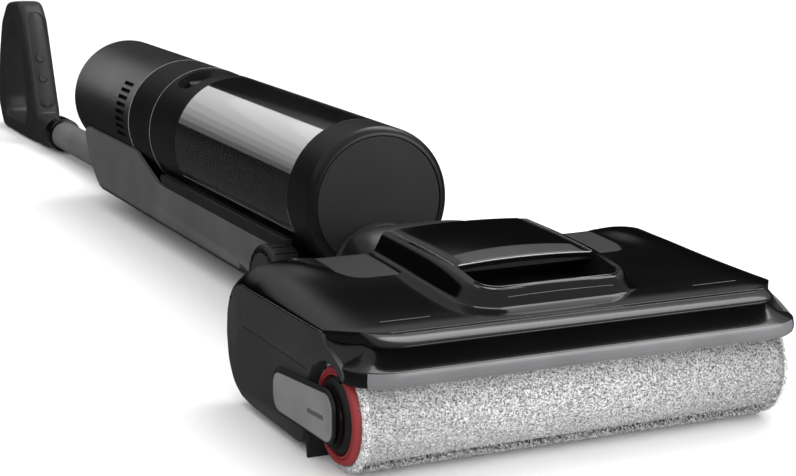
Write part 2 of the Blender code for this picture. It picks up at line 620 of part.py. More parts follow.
# ---- tank ---------------------------------------------------------------------------------------
def build_tank():
    axis = (0.0, BODY_Z)
    edge = 0.0055
    inner = BODY_R - WALL
    corner = [(r, a) for a, r in arc((TANK_FRONT + edge, BODY_R - edge), edge, 90, 180, 5)]
    cap = [(0.0, TANK_FRONT), *reversed(corner), (BODY_R, WINDOW[0] - GAP), (inner, WINDOW[0] - GAP),
           (inner, TANK_FRONT + 0.0045), (0.0, TANK_FRONT + 0.0045)]
    base = turned("tank_base_cap", cap, "Y", axis)
    cut(base, rod("cut_tank_inlet", 0.0070, (0.240, 0.262), "Y", (0.0, 0.062), 16), "tank")
    part(base, "tank", "satin_black")
    part(ring("tank_window", BODY_R, inner, WINDOW, "Y", axis), "tank", "smoked")
    middle = (DIVIDER_Y - 0.0015, DIVIDER_Y + 0.0015)
    divider = rod("tank_divider", inner - GAP, middle, "Y", axis, TURN_STEPS)
    part(divider, "tank", "inner_plastic")
    riser = ring("riser_tube", 0.0085, 0.0068, (TANK_FRONT + 0.0050, DIVIDER_Y - 0.006), "Y",
                 (0.0, 0.062), SMALL_STEPS)
    part(riser, "tank", "smoked")

    start = WINDOW[1] + GAP
    profile = [(BODY_R, LID_END), (BODY_R, start), (inner, start), (inner, 0.5335), (0.0120, 0.5335),
               (0.0120, LID_END)]
    lid = turned("tank_lid", profile, "Y", axis)
    cut(lid, slot_sector("cut_grip_slot", 0.0330, 0.0600, GRIP_SLOT), "tank")
    part(lid, "tank", "satin_black")
    part(ring("tank_filter", 0.0430, 0.0120, (0.5245, 0.5325), "Y", axis, 36), "tank", "inner_plastic")
    latch = slot_sector("tank_latch", 0.0333, 0.0460, (GRIP_SLOT[1] - 0.018, GRIP_SLOT[1] - GAP), 0.62)
    part(latch, "latch", "lever_grey")


def slot_sector(name, inner, outer, span, share=1.0):
    """A sector of a ring round the tank's axis, centred on its top."""
    reach = 90 - GRIP_SLOT_ANGLE * share * 180 / pi
    outline = arc((0.0, BODY_Z), outer, reach, 180 - reach, 12)
    outline += arc((0.0, BODY_Z), inner, 180 - reach, reach, 12)
    return slab(name, outline, "Y", span)


# ---- motor housing ------------------------------------------------------------------------------
def build_housing():
    axis = (0.0, BODY_Z)
    inner = BODY_R - WALL
    band = [(BODY_R, BAND_END), (BODY_R, LID_END + GAP), (0.0130, LID_END + GAP), (0.0130, LID_END + 0.003),
            (inner, LID_END + 0.003), (inner, BAND_END)]
    part(turned("filter_band", band, "Y", axis), "body", "satin_black")
    start = BAND_END + GAP
    part(ring("trim_ring", BODY_R + 0.0002, inner, (start, start + 0.0014), "Y", axis), "body", "silver")
    start = start + 0.0014 + GAP
    edge = 0.003
    far = [(r, a) for a, r in arc((HOUSING_END - edge, BODY_R - edge), edge, 0, 90, 4)]
    shell = [(0.0, HOUSING_END), *far, (BODY_R, start), (inner, start), (inner, HOUSING_END - 0.003),
             (0.0, HOUSING_END - 0.003)]
    housing = turned("motor_housing", shell, "Y", axis)
    for sign in (-1, 1):
        for row in range(8):
            angle = sign * radians(54 + 7.1 * row)
            for k, middle in enumerate((0.6630, 0.6775)):
                slot = box("cut_vent_%d_%d_%d" % (sign, row, k), (-0.0016, 0.0016),
                           (middle - 0.0055, middle + 0.0055), (-0.004, 0.004))
                slot.rotation_euler = (0.0, angle, 0.0)
                slot.location = (BODY_R * sin(angle), middle, BODY_Z + BODY_R * cos(angle))
                cut(housing, slot, "body")
    part(housing, "body", "dark_grey")
    lens = rod("display_lens", 0.0330, (HOUSING_END + GAP, HOUSING_END + 0.0016), "Y", axis, 36)
    part(lens, "body", "gloss_black")
    motor = [(0.0, 0.655), (0.012, 0.655), (0.034, 0.663), (0.034, 0.700), (0.028, 0.712), (0.028, 0.726),
             (0.0, 0.726)]
    part(turned("suction_motor", motor, "Y", axis, 32), "body", "steel")
    pack = box("battery_pack", (-0.032, 0.032), (0.732, 0.800), (BODY_Z - 0.030, BODY_Z + 0.030))
    part(soften(pack, 0.006, 2), "body", "cell_blue")


# ---- handle -------------------------------------------------------------------------------------
def loop_outer():
    """Outer outline of the handle loop, in Y and Z."""
    return fillet([(COLLAR[1] + GAP, 0.0), (1.256, 0.0), (REAR_Y, 0.024), (REAR_Y, 0.036), (1.264, 0.083),
                   (1.247, 0.124),
                   (1.221, 0.1475), (1.166, 0.1475), (1.148, 0.131), FACE_HEAD, FACE_FOOT,
                   (1.100, 0.0355), (COLLAR[1] + GAP, 0.0350)], 0.014, 3)


def loop_inner():
    """Outline of the finger hole, in Y and Z."""
    return fillet([(1.156, 0.0165), (1.2430, 0.0165), (1.2450, 0.035), (1.234, 0.083), (1.2225, 0.112),
                   (1.212, 0.1250), (1.185, 0.1250), (1.172, 0.112), (1.149, 0.050)], 0.008, 2)


def on_face(share, depth=0.0):
    """A point of the front bar's face in (y, z), sunk below it by depth."""
    dy, dz = FACE_HEAD[0] - FACE_FOOT[0], FACE_HEAD[1] - FACE_FOOT[1]
    length = hypot(dy, dz)
    return (FACE_FOOT[0] + share * dy + depth * dz / length, FACE_FOOT[1] + share * dz - depth * dy / length)


def face_block(name, outline, depth, holes=()):
    """A block on the front bar's face: outline in (x, distance along the face), depths from the face."""
    block = slab(name, outline, "Z", (-depth[1], -depth[0]), holes)
    middle = on_face(0.5)
    lean = atan2(FACE_HEAD[1] - FACE_FOOT[1], FACE_HEAD[0] - FACE_FOOT[0])
    block.rotation_euler = (lean, 0.0, 0.0)
    offset = -(depth[0] + depth[1]) / 2
    block.location = (0.0, middle[0] - offset * sin(lean), middle[1] + offset * cos(lean))
    return block


BUTTONS = (("power_button", 0.011), ("clean_button", -0.011))


def build_handle():
    axis = (0.0, TUBE_Z)
    part(ring("handle_tube", TUBE_R, 0.0125, TUBE, "Y", axis, 32), "body", "tube_grey")
    collar = [(0.0158, COLLAR[1]), (0.0172, COLLAR[1] - 0.0015), (0.0172, COLLAR[0] + 0.0015),
              (0.0158, COLLAR[0]), (TUBE_R + GAP, COLLAR[0]), (TUBE_R + GAP, COLLAR[1])]
    part(turned("tube_collar", collar, "Y", axis, 36), "body", "satin_black")

    loop = slab("handle_loop", loop_outer(), "X", (-LOOP_HALF, LOOP_HALF), [loop_inner()])
    soften(loop, 0.0045, 2, 60)
    plate = pill((0.0, 0.0), 0.0085, 0.0300, 0.0060)
    room = pill((0.0, 0.0), 0.0085 + GAP, 0.0300 + GAP, 0.0060 + GAP)
    cut(loop, face_block("cut_inlay", room, (-0.004, 0.0015)), "body")
    circles = [arc((0.0, place), BUTTON_R + GAP, 0, 340, 17) for _, place in BUTTONS]
    for k, circle in enumerate(circles):
        cut(loop, face_block("cut_button_%d" % k, circle, (-0.004, 0.0062)), "body")
    part(loop, "body", "satin_black")
    inlay = face_block("grip_inlay", plate, (0.0, 0.0012), circles)
    part(inlay, "body", "gloss_black")
    for name, place in BUTTONS:
        button = face_block(name, arc((0.0, place), BUTTON_R, 0, 340, 17), (-0.0008, 0.0040))
        part(button, name, "satin_black")


# ---- bodies -------------------------------------------------------------------------------------
def add_axes():
    """One empty for each body, on the axis of its joint."""
    add_axis("root")
    AXES["root"].location = (0.0, -CENTRE_Y, 0.0)
    add_axis("head", "root")
    add_axis("cover", "head", (0.0, FRONT_Y, 0.070))
    add_axis("lever", "head", (-HEAD_HALF - GAP, *LEVER_HINGE))
    add_axis("roller", "head", (0.0, 0.0, ROLLER_R))
    add_axis("motor_shaft", "head", (0.0, DRIVE_Y, DRIVE_Z))
    add_axis("caster_left", "head", (-CASTER_X, CASTER_Y, CASTER_R))
    add_axis("caster_right", "head", (CASTER_X, CASTER_Y, CASTER_R))
    add_axis("neck", "head", (0.0, TILT_Y, TILT_Z))
    add_axis("body", "neck", (0.0, SWIVEL_Y, SWIVEL_Z))
    add_axis("wheel_left", "body", (0.0, WHEEL_Y, WHEEL_R))
    add_axis("wheel_right", "body", (0.0, WHEEL_Y, WHEEL_R))
    add_axis("tank", "body", (0.0, TANK_FRONT, BODY_Z))
    add_axis("latch", "tank", (0.0, GRIP_SLOT[1], BODY_Z + BODY_R))
    for name, place in BUTTONS:
        share = 0.5 + place / hypot(FACE_HEAD[0] - FACE_FOOT[0], FACE_HEAD[1] - FACE_FOOT[1])
        add_axis(name, "body", (0.0, *on_face(share)))


add_axes()
build_chassis()
build_side_panels()
build_drive()
build_roller()
build_lever()
build_cover()
build_rear_shells()
build_underside()
build_neck()
build_arm()
build_spine()
build_tank()
build_housing()
build_handle()
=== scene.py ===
# Looks of a wet and dry floor scrubber, lying flat. Shapes are drawn in a design frame: X to the
# right, Y backwards from the roller's axis and Z up from the floor, in metres. to_row() moves a
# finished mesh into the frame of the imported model.

import json
import math
import random

import bmesh
import bpy
from mathutils import Matrix, Vector

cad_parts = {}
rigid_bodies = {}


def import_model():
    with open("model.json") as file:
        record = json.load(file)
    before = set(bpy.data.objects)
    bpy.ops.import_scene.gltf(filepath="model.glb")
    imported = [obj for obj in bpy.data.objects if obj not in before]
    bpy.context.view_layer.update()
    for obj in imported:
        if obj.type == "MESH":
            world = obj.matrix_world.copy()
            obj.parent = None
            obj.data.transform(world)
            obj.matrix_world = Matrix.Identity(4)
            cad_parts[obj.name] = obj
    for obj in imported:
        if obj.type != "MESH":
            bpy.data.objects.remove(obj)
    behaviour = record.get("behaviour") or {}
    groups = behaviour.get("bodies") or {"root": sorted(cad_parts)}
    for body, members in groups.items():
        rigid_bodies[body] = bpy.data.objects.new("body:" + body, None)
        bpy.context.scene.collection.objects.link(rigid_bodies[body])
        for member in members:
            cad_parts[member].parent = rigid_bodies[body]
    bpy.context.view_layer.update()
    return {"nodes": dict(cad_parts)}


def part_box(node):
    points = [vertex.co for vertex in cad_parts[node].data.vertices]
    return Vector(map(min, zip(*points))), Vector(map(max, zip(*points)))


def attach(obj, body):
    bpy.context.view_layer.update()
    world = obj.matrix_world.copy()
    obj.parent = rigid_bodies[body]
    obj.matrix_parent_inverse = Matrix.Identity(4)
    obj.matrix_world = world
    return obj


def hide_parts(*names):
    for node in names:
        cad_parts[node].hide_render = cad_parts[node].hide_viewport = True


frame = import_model()
SCENE = bpy.context.scene
SCENE.view_settings.view_transform = "Standard"
SIDES = (("left", -1), ("right", 1))

# ---- sizes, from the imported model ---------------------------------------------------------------
AXIS_Y = sum(c.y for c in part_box("roller_sleeve")) / 2      # the design frame's origin along Y


def reach(node, axis):
    """Lowest and highest coordinate of a CAD node along an axis, in the design frame."""
    low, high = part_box(node)
    index = "xyz".index(axis)
    shift = AXIS_Y if axis == "y" else 0.0
    return low[index] - shift, high[index] - shift


ROLLER_Z = sum(reach("roller_sleeve", "z")) / 2
ROLLER_R = reach("roller_sleeve", "z")[1] - ROLLER_Z
ROLLER_HALF = reach("roller_sleeve", "x")[1]
HEAD_HALF = reach("side_panel_right", "x")[1]
COVER_REAR = reach("roller_cover", "y")[1]
SKIRT_Z = reach("roller_cover", "z")[0]
SHELL_REAR = reach("rear_shell_left", "y")[1]
PANEL_REAR = reach("side_panel_left", "y")[1]
PANEL_BOTTOM = reach("side_panel_left", "z")[0]
BODY_Z = sum(reach("tank_window", "z")) / 2
BODY_R = reach("tank_window", "z")[1] - BODY_Z
TANK_FRONT = reach("tank_base_cap", "y")[0]
WINDOW, LID, BAND, TRIM, HOUSING, LENS, TUBE = [
    reach(node, "y") for node in ("tank_window", "tank_lid", "filter_band", "trim_ring", "motor_housing",
                                  "display_lens", "handle_tube")]
TUBE_Z = sum(reach("handle_tube", "z")) / 2
TUBE_R = reach("handle_tube", "z")[1] - TUBE_Z
COLLAR = reach("tube_collar", "y")
LOOP_HALF = reach("handle_loop", "x")[1]
LOOP_REAR = reach("handle_loop", "y")[1]
LOOP_TOP = reach("handle_loop", "z")[1]
WHEEL_Y = sum(reach("wheel_left", "y")) / 2
WHEEL_Z = sum(reach("wheel_left", "z")) / 2
WHEEL_R = WHEEL_Z           # the wheels stand on the floor
WHEEL_X = reach("wheel_right", "x")
NECK = reach("neck_shell", "y")
SWIVEL_Y = reach("arm_block", "y")[0]

# ---- sizes of the looks -------------------------------------------------------------------------
GAP = 0.0003                # clearance between neighbouring shells
SEAM_Y = -0.0177            # seam between the cover's top and its upper lip
CORNER_R = 0.034            # corners of the cover's top, seen from above
EDGE_R = 0.0015             # roll of the shells' top into their sides
HUMP = (0.0565, -0.0022)    # half width and front of the hump's foot
HUMP_SLOPE = 0.0088         # width of the hump's sloping edge
HUMP_CORNER_R = 0.024       # corners of the hump's foot, seen from above
GRIP_HALF = 0.0440          # half width of the grip panel
GRIP_FRONT = 0.0435         # its front edge
ARCH_R = 0.0293             # arch of the cover's sides over the roller's ends
PANEL_ARCH_R = 0.0308       # the same arch in the head's side panels
SWIVEL_Z, SWIVEL_R = 0.042, 0.036           # axis height and radius of the swivel joint
PULLEY_R, MOTOR_PULLEY_R = 0.0110, 0.0080   # pulleys of the belt drive
BELT_GUARD = 0.0028         # how far the belt's cover reaches past the pulleys
COLLAR_R = 0.0171           # collar at the foot of the loop, and the loop's foot in it
TUBE_BORE = 0.0125          # radius inside the handle tube
AXIS = (0.0, BODY_Z)        # the tank's and the motor housing's axis, as X and Z
INNER_R = BODY_R - 0.0024   # inside of their shells
ROUND_STEPS = 160           # facets round the tank and the motor housing


# ---- small maths --------------------------------------------------------------------------------
def clamp(value, low=0.0, high=1.0):
    """The value, kept between two limits."""
    return max(low, min(high, value))


def mix(a, b, share):
    """A value between a and b."""
    return a + (b - a) * share


def smooth(share):
    """0 to 1 with soft ends."""
    share = clamp(share)
    return share * share * (3 - 2 * share)


def spread(start, end, count):
    """Evenly spaced values from start to end."""
    return [mix(start, end, k / (count - 1)) for k in range(count)]


def chained(*stretches):
    """Stations of several (start, end, count) stretches that follow one another."""
    out = []
    for stretch in stretches:
        out += spread(*stretch)[:-1]
    return out + [spread(*stretches[-1])[-1]]


def through(points, value):
    """Height of a smooth curve through (place, height) points."""
    places = [p for p, _ in points]
    if value <= places[0]:
        return points[0][1]
    if value >= places[-1]:
        return points[-1][1]
    i = max(k for k in range(len(points) - 1) if places[k] <= value)
    slopes = []
    for k in (i, i + 1):
        a, b = points[max(k - 1, 0)], points[min(k + 1, len(points) - 1)]
        slopes.append((b[1] - a[1]) / (b[0] - a[0]))
    width = places[i + 1] - places[i]
    t = (value - places[i]) / width
    a, b = points[i][1], points[i + 1][1]
    leave, arrive = slopes[0] * width * (t ** 3 - 2 * t ** 2 + t), slopes[1] * width * (t ** 3 - t ** 2)
    return a * (2 * t ** 3 - 3 * t ** 2 + 1) + leave + b * (3 * t ** 2 - 2 * t ** 3) + arrive


def arc(centre, radius, start, end, steps):
    """Points on an arc, with angles in degrees."""
    angles = [math.radians(a) for a in spread(start, end, steps + 1)]
    return [(centre[0] + radius * math.cos(a), centre[1] + radius * math.sin(a)) for a in angles]


def fillet(points, radii, steps=8):
    """Round the corners of a closed outline; radii is one radius, or one for each corner."""
    out = []
    count = len(points)
    for i, corner in enumerate(points):
        radius = radii[i] if isinstance(radii, (list, tuple)) else radii
        if radius <= 0:
            out.append(tuple(corner))
            continue
        u = Vector(points[i - 1]) - Vector(corner)
        v = Vector(points[(i + 1) % count]) - Vector(corner)
        lu, lv = u.length, v.length
        u, v = u / lu, v / lv
        dot = clamp(u.dot(v), -0.9999, 0.9999)
        half_tan = math.sqrt((1 - dot) / (1 + dot))
        run = min(radius / half_tan, 0.48 * lu, 0.48 * lv)
        bow = run * half_tan
        centre = Vector(corner) + (u + v).normalized() * math.hypot(run, bow)
        start, end = Vector(corner) + u * run - centre, Vector(corner) + v * run - centre
        a0 = math.atan2(start.y, start.x)
        turn = (math.atan2(end.y, end.x) - a0 + math.pi) % (2 * math.pi) - math.pi
        for k in range(steps + 1):
            a = a0 + turn * k / steps
            out.append((centre.x + bow * math.cos(a), centre.y + bow * math.sin(a)))
    return out


def pill(centre, half_length, half_height, radius, slant=0.0, steps=10):
    """A rounded rectangle, turned by slant radians."""
    corners = [(-half_length, -half_height), (half_length, -half_height),
               (half_length, half_height), (-half_length, half_height)]
    return [(centre[0] + a * math.cos(slant) - b * math.sin(slant),
             centre[1] + a * math.sin(slant) + b * math.cos(slant))
            for a, b in fillet(corners, radius, steps)]


# ---- mesh tools ---------------------------------------------------------------------------------
def raw(name, verts, faces, fix_normals=True):
    """A mesh object with no material yet, in the design frame."""
    mesh = bpy.data.meshes.new(name)
    mesh.from_pydata([tuple(v) for v in verts], [], faces)
    thing = bpy.data.objects.new(name, mesh)
    SCENE.collection.objects.link(thing)
    if fix_normals:
        clean(thing)
    return thing


def clean(thing):
    """Weld doubled points and turn the faces outwards."""
    grid = bmesh.new()
    grid.from_mesh(thing.data)
    bmesh.ops.remove_doubles(grid, verts=grid.verts, dist=1e-6)
    bmesh.ops.dissolve_degenerate(grid, edges=grid.edges, dist=1e-7)
    bmesh.ops.recalc_face_normals(grid, faces=grid.faces)
    grid.to_mesh(thing.data)
    grid.free()


def applied(thing):
    """Apply every modifier."""
    bpy.context.view_layer.update()
    evaluated = thing.evaluated_get(bpy.context.evaluated_depsgraph_get())
    mesh = bpy.data.meshes.new_from_object(evaluated)
    thing.modifiers.clear()
    thing.data = mesh
    return thing


def rounded(thing, width, segments=3, angle=40):
    """Round the sharp edges."""
    bevel = thing.modifiers.new("round", "BEVEL")
    bevel.width = width
    bevel.segments = segments
    bevel.limit_method = "ANGLE"
    bevel.angle_limit = math.radians(angle)
    bevel.use_clamp_overlap = True
    return applied(thing)


def cut(thing, *tools):
    """Cut other objects out of a piece, and remove them."""
    for tool in tools:
        boolean = thing.modifiers.new("cut", "BOOLEAN")
        boolean.operation = "DIFFERENCE"
        boolean.solver = "EXACT"
        boolean.object = tool
    applied(thing)
    for tool in tools:
        bpy.data.objects.remove(tool)
    return thing


def joined(name, *things):
    """One object from the meshes of several."""
    grid = bmesh.new()
    for thing in things:
        grid.from_mesh(thing.data)
        bpy.data.objects.remove(thing)
    mesh = bpy.data.meshes.new(name)
    grid.to_mesh(mesh)
    grid.free()
    whole = bpy.data.objects.new(name, mesh)
    SCENE.collection.objects.link(whole)
    return whole


def skin(name, rings, wrap=False):
    """Skin closed rings of equal length: the ends are capped, or wrap joins the last ring to the first."""
    count = len(rings[0])
    verts = [p for ring in rings for p in ring]
    faces = []
    for r in range(len(rings) if wrap else len(rings) - 1):
        a, b = r * count, (r + 1) % len(rings) * count
        for k in range(count):
            n = (k + 1) % count
            faces.append((a + k, a + n, b + n, b + k))
    if not wrap:
        faces.append(tuple(range(count)))
        faces.append(tuple(range(len(verts) - count, len(verts))))
    return raw(name, verts, faces)


def slab(name, top, under):
    """A sheet between two grids of points with equal rows."""
    count, size = len(top[0]), len(top[0]) * len(top)
    verts = [p for row in top for p in row] + [p for row in under for p in row]
    faces = []
    for r in range(len(top) - 1):
        for k in range(count - 1):
            a = r * count + k
            faces.append((a, a + 1, a + count + 1, a + count))
            faces.append((size + a, size + a + count, size + a + count + 1, size + a + 1))
    last = size - count
    for k in range(count - 1):
        faces.append((k, k + size, k + size + 1, k + 1))
        faces.append((last + k, last + k + 1, last + k + 1 + size, last + k + size))
    for r in range(len(top) - 1):
        a, b = r * count, (r + 1) * count
        faces.append((a, b, b + size, a + size))
        faces.append((a + count - 1, a + count - 1 + size, b + count - 1 + size, b + count - 1))
    return raw(name, verts, faces)


# where an outline's two coordinates and its place along an axis go
PLACES = {
    "X": lambda a, b, c: (c, a, b),      # outline in (y, z)
    "Y": lambda a, b, c: (a, c, b),      # outline in (x, z)
    "Z": lambda a, b, c: (a, b, c),      # outline in (x, y)
}


def prism(name, outline, axis, span):
    """A flat outline with a thickness."""
    return skin(name, [[PLACES[axis](a, b, c) for a, b in outline] for c in span])


def turned(name, profile, axis, centre, steps=96):
    """Turn a closed profile of (radius, distance along the axis) about an X or Y axis."""
    rings = []
    for k in range(steps):
        a = 2 * math.pi * k / steps
        ring = []
        for r, along in profile:
            p, q = centre[0] + r * math.cos(a), centre[1] + r * math.sin(a)
            ring.append((along, p, q) if axis == "X" else (p, along, q))
        rings.append(ring)
    return skin(name, rings, wrap=True)


def ring_band(name, outer, inner, span, axis, centre, edge=0.0004, steps=96):
    """A tube along an axis with slightly rounded outer edges."""
    start, end = span
    round_in = edge * 0.3
    profile = [(inner, start), (outer - edge, start), (outer - round_in, start + round_in),
               (outer, start + edge), (outer, end - edge), (outer - round_in, end - round_in),
               (outer - edge, end), (inner, end)]
    return turned(name, profile, axis, centre, steps)


def round_body(angle, radius):
    """X and Z of a point round the tank's axis, with the angle in radians from the top."""
    return radius * math.sin(angle), BODY_Z + radius * math.cos(angle)


def wrapped(name, outline, inner, outer, sign=1):
    """A block bent round the tank: outline in (arc length from the top, y) at the body's radius."""
    rings = []
    for radius in (inner, outer):
        ring = []
        for s, y in outline:
            x, z = round_body(sign * s / BODY_R, radius)
            ring.append((x, y, z))
        rings.append(ring)
    return skin(name, rings)


# ---- materials ----------------------------------------------------------------------------------
class Nodes:
    """Short calls for the nodes of one material."""

    def __init__(self, name):
        self.material = bpy.data.materials.new(name)
        self.material.use_nodes = True
        self.tree = self.material.node_tree
        self.shader = self.tree.nodes["Principled BSDF"]
        coords = self.tree.nodes.new("ShaderNodeTexCoord")
        self.place = coords.outputs["Object"]

    def link(self, a, b):
        """Join an output to an input."""
        self.tree.links.new(a, b)

    def scaled(self, scale):
        """Object coordinates, stretched by a factor for each axis."""
        mapping = self.tree.nodes.new("ShaderNodeMapping")
        mapping.inputs["Scale"].default_value = scale
        self.link(self.place, mapping.inputs["Vector"])
        return mapping.outputs["Vector"]

    def noise(self, scale, detail=2.0, roughness=0.5, place=None):
        """Soft noise from 0 to 1."""
        node = self.tree.nodes.new("ShaderNodeTexNoise")
        node.inputs["Scale"].default_value = scale
        node.inputs["Detail"].default_value = detail
        node.inputs["Roughness"].default_value = roughness
        self.link(place or self.place, node.inputs["Vector"])
        return node.outputs["Fac"]

    def cells(self, scale):
        """Cells, each with a colour and the distance to its middle."""
        node = self.tree.nodes.new("ShaderNodeTexVoronoi")
        node.inputs["Scale"].default_value = scale
        self.link(self.place, node.inputs["Vector"])
        return node

    def spans(self, value, low, high, start=0.0, end=1.0):
        """A value that runs from start to end, made to run from low to high."""
        node = self.tree.nodes.new("ShaderNodeMapRange")
        node.inputs["From Min"].default_value = start
        node.inputs["From Max"].default_value = end
        node.inputs["To Min"].default_value = low
        node.inputs["To Max"].default_value = high
        self.link(value, node.inputs["Value"])
        return node.outputs["Result"]

    def ramp(self, value, stops):
        """Colour of a value between (place, colour) stops."""
        node = self.tree.nodes.new("ShaderNodeValToRGB")
        ramp = node.color_ramp
        while len(ramp.elements) < len(stops):
            ramp.elements.new(0.5)
        for element, (place, colour) in zip(ramp.elements, stops):
            element.position = place
            element.color = (*colour, 1.0)
        self.link(value, node.inputs["Fac"])
        return node.outputs["Color"]

    def bump(self, value, strength, distance, normal=None):
        """A relief, on top of another one if normal is given."""
        node = self.tree.nodes.new("ShaderNodeBump")
        node.inputs["Strength"].default_value = strength
        node.inputs["Distance"].default_value = distance
        self.link(value, node.inputs["Height"])
        if normal:
            self.link(normal, node.inputs["Normal"])
        return node.outputs["Normal"]

    def set(self, **values):
        """Fixed values of the shader, by socket name with _ for spaces."""
        for name, value in values.items():
            self.shader.inputs[name.replace("_", " ")].default_value = value


def tint(colour, factor):
    """A colour made lighter or darker."""
    return tuple(c * factor for c in colour)


def moulded(name, colour, roughness, grain=0.25, coat=0.0, spread_by=0.06, worn=0.0):
    """Moulded plastic: fine grain, soft mottling of colour and gloss, and lighter worn edges."""
    n = Nodes(name)
    mottle = n.noise(26, 3.0)
    shades = n.ramp(mottle, [(0.30, tint(colour, 0.86)), (0.70, tint(colour, 1.14))])
    if worn:
        geometry = n.tree.nodes.new("ShaderNodeNewGeometry")
        edge = n.spans(geometry.outputs["Pointiness"], 0.0, worn, 0.52, 0.60)
        blend = n.tree.nodes.new("ShaderNodeMix")
        blend.data_type = "RGBA"
        n.link(edge, blend.inputs["Factor"])
        n.link(shades, blend.inputs["A"])
        blend.inputs["B"].default_value = (*tint(colour, 2.6), 1.0)
        shades = blend.outputs["Result"]
    n.link(shades, n.shader.inputs["Base Color"])
    smear = n.noise(9, 4.0, 0.6)
    n.link(n.spans(smear, roughness - spread_by, roughness + spread_by, 0.25, 0.75),
           n.shader.inputs["Roughness"])
    fine = n.bump(n.noise(1400, 2.0), grain, 0.00006)
    wavy = n.bump(n.noise(60, 1.0), 0.10, 0.00010, fine)
    n.link(wavy, n.shader.inputs["Normal"])
    n.set(Coat_Weight=coat, Coat_Roughness=0.06)
    return n.material


def brushed_metal(name, colour, roughness, stretch):
    """Metal with fine lines along one axis."""
    n = Nodes(name)
    lines = n.noise(900, 2.0, 0.6, n.scaled(stretch))
    n.link(n.ramp(lines, [(0.3, tint(colour, 0.85)), (0.7, tint(colour, 1.1))]),
           n.shader.inputs["Base Color"])
    n.link(n.spans(lines, roughness - 0.06, roughness + 0.08), n.shader.inputs["Roughness"])
    n.link(n.bump(lines, 0.15, 0.00004), n.shader.inputs["Normal"])
    n.set(Metallic=1.0)
    return n.material


def rubbery(name, colour):
    """Matte rubber with a pebbled skin and a little dust."""
    n = Nodes(name)
    dust = n.noise(45, 5.0, 0.65)
    n.link(n.ramp(dust, [(0.35, colour), (0.75, tint(colour, 1.9))]), n.shader.inputs["Base Color"])
    n.link(n.spans(dust, 0.62, 0.82), n.shader.inputs["Roughness"])
    n.link(n.bump(n.cells(1100).outputs["Distance"], 0.35, 0.0001), n.shader.inputs["Normal"])
    n.set(Specular_IOR_Level=0.35)
    return n.material


def fleece(name):
    """Short woven pile: single threads from dark grey to white, in faint clumps."""
    n = Nodes(name)
    tone = n.tree.nodes.new("ShaderNodeSeparateColor")
    n.link(n.cells(1500).outputs["Color"], tone.inputs["Color"])
    clumps = n.noise(420, 3.0, 0.7)
    blend = n.tree.nodes.new("ShaderNodeMath")
    blend.operation = "MULTIPLY_ADD"
    n.link(clumps, blend.inputs[0])
    blend.inputs[1].default_value = 0.45
    n.link(n.spans(tone.outputs["Red"], -0.05, 0.60), blend.inputs[2])
    grey = n.ramp(blend.outputs[0], [(0.14, (0.045,) * 3), (0.34, (0.26,) * 3), (0.58, (0.60,) * 3),
                                     (0.85, (0.86,) * 3)])
    n.link(grey, n.shader.inputs["Base Color"])
    n.link(n.bump(clumps, 0.5, 0.0006), n.shader.inputs["Normal"])
    n.set(Roughness=0.95, Specular_IOR_Level=0.15, Sheen_Weight=0.25)
    return n.material


def smoked_plastic(name, colour, alpha):
    """Dark clear plastic with faint flow lines and water haze."""
    n = Nodes(name)
    haze = n.noise(30, 4.0, 0.6, n.scaled((1.0, 0.35, 1.0)))
    n.link(n.ramp(haze, [(0.3, tint(colour, 0.8)), (0.75, tint(colour, 1.35))]),
           n.shader.inputs["Base Color"])
    n.link(n.spans(haze, 0.045, 0.10), n.shader.inputs["Roughness"])
    n.link(n.bump(n.noise(40, 1.0), 0.04, 0.0001), n.shader.inputs["Normal"])
    n.set(Alpha=alpha, Specular_IOR_Level=0.7, Coat_Weight=0.6, Coat_Roughness=0.03)
    return n.material


def print_and_highlight_line(name, colour, roughness=0.4, metallic=0.0):
    """Thin printed or foil line; the same look also makes light lines that are painted highlights."""
    n = Nodes(name)
    n.link(n.ramp(n.noise(300, 2.0), [(0.3, tint(colour, 0.85)), (0.7, tint(colour, 1.1))]),
           n.shader.inputs["Base Color"])
    n.link(n.spans(n.noise(500), roughness - 0.08, roughness + 0.08), n.shader.inputs["Roughness"])
    n.set(Metallic=metallic)
    return n.material


def paper_floor():
    """Near white paper of the studio's floor."""
    n = Nodes("studio_floor")
    n.link(n.ramp(n.noise(3, 2.0), [(0.3, (0.93, 0.93, 0.93)), (0.7, (0.97, 0.97, 0.97))]),
           n.shader.inputs["Base Color"])
    n.set(Roughness=0.9, Specular_IOR_Level=0.1)
    return n.material


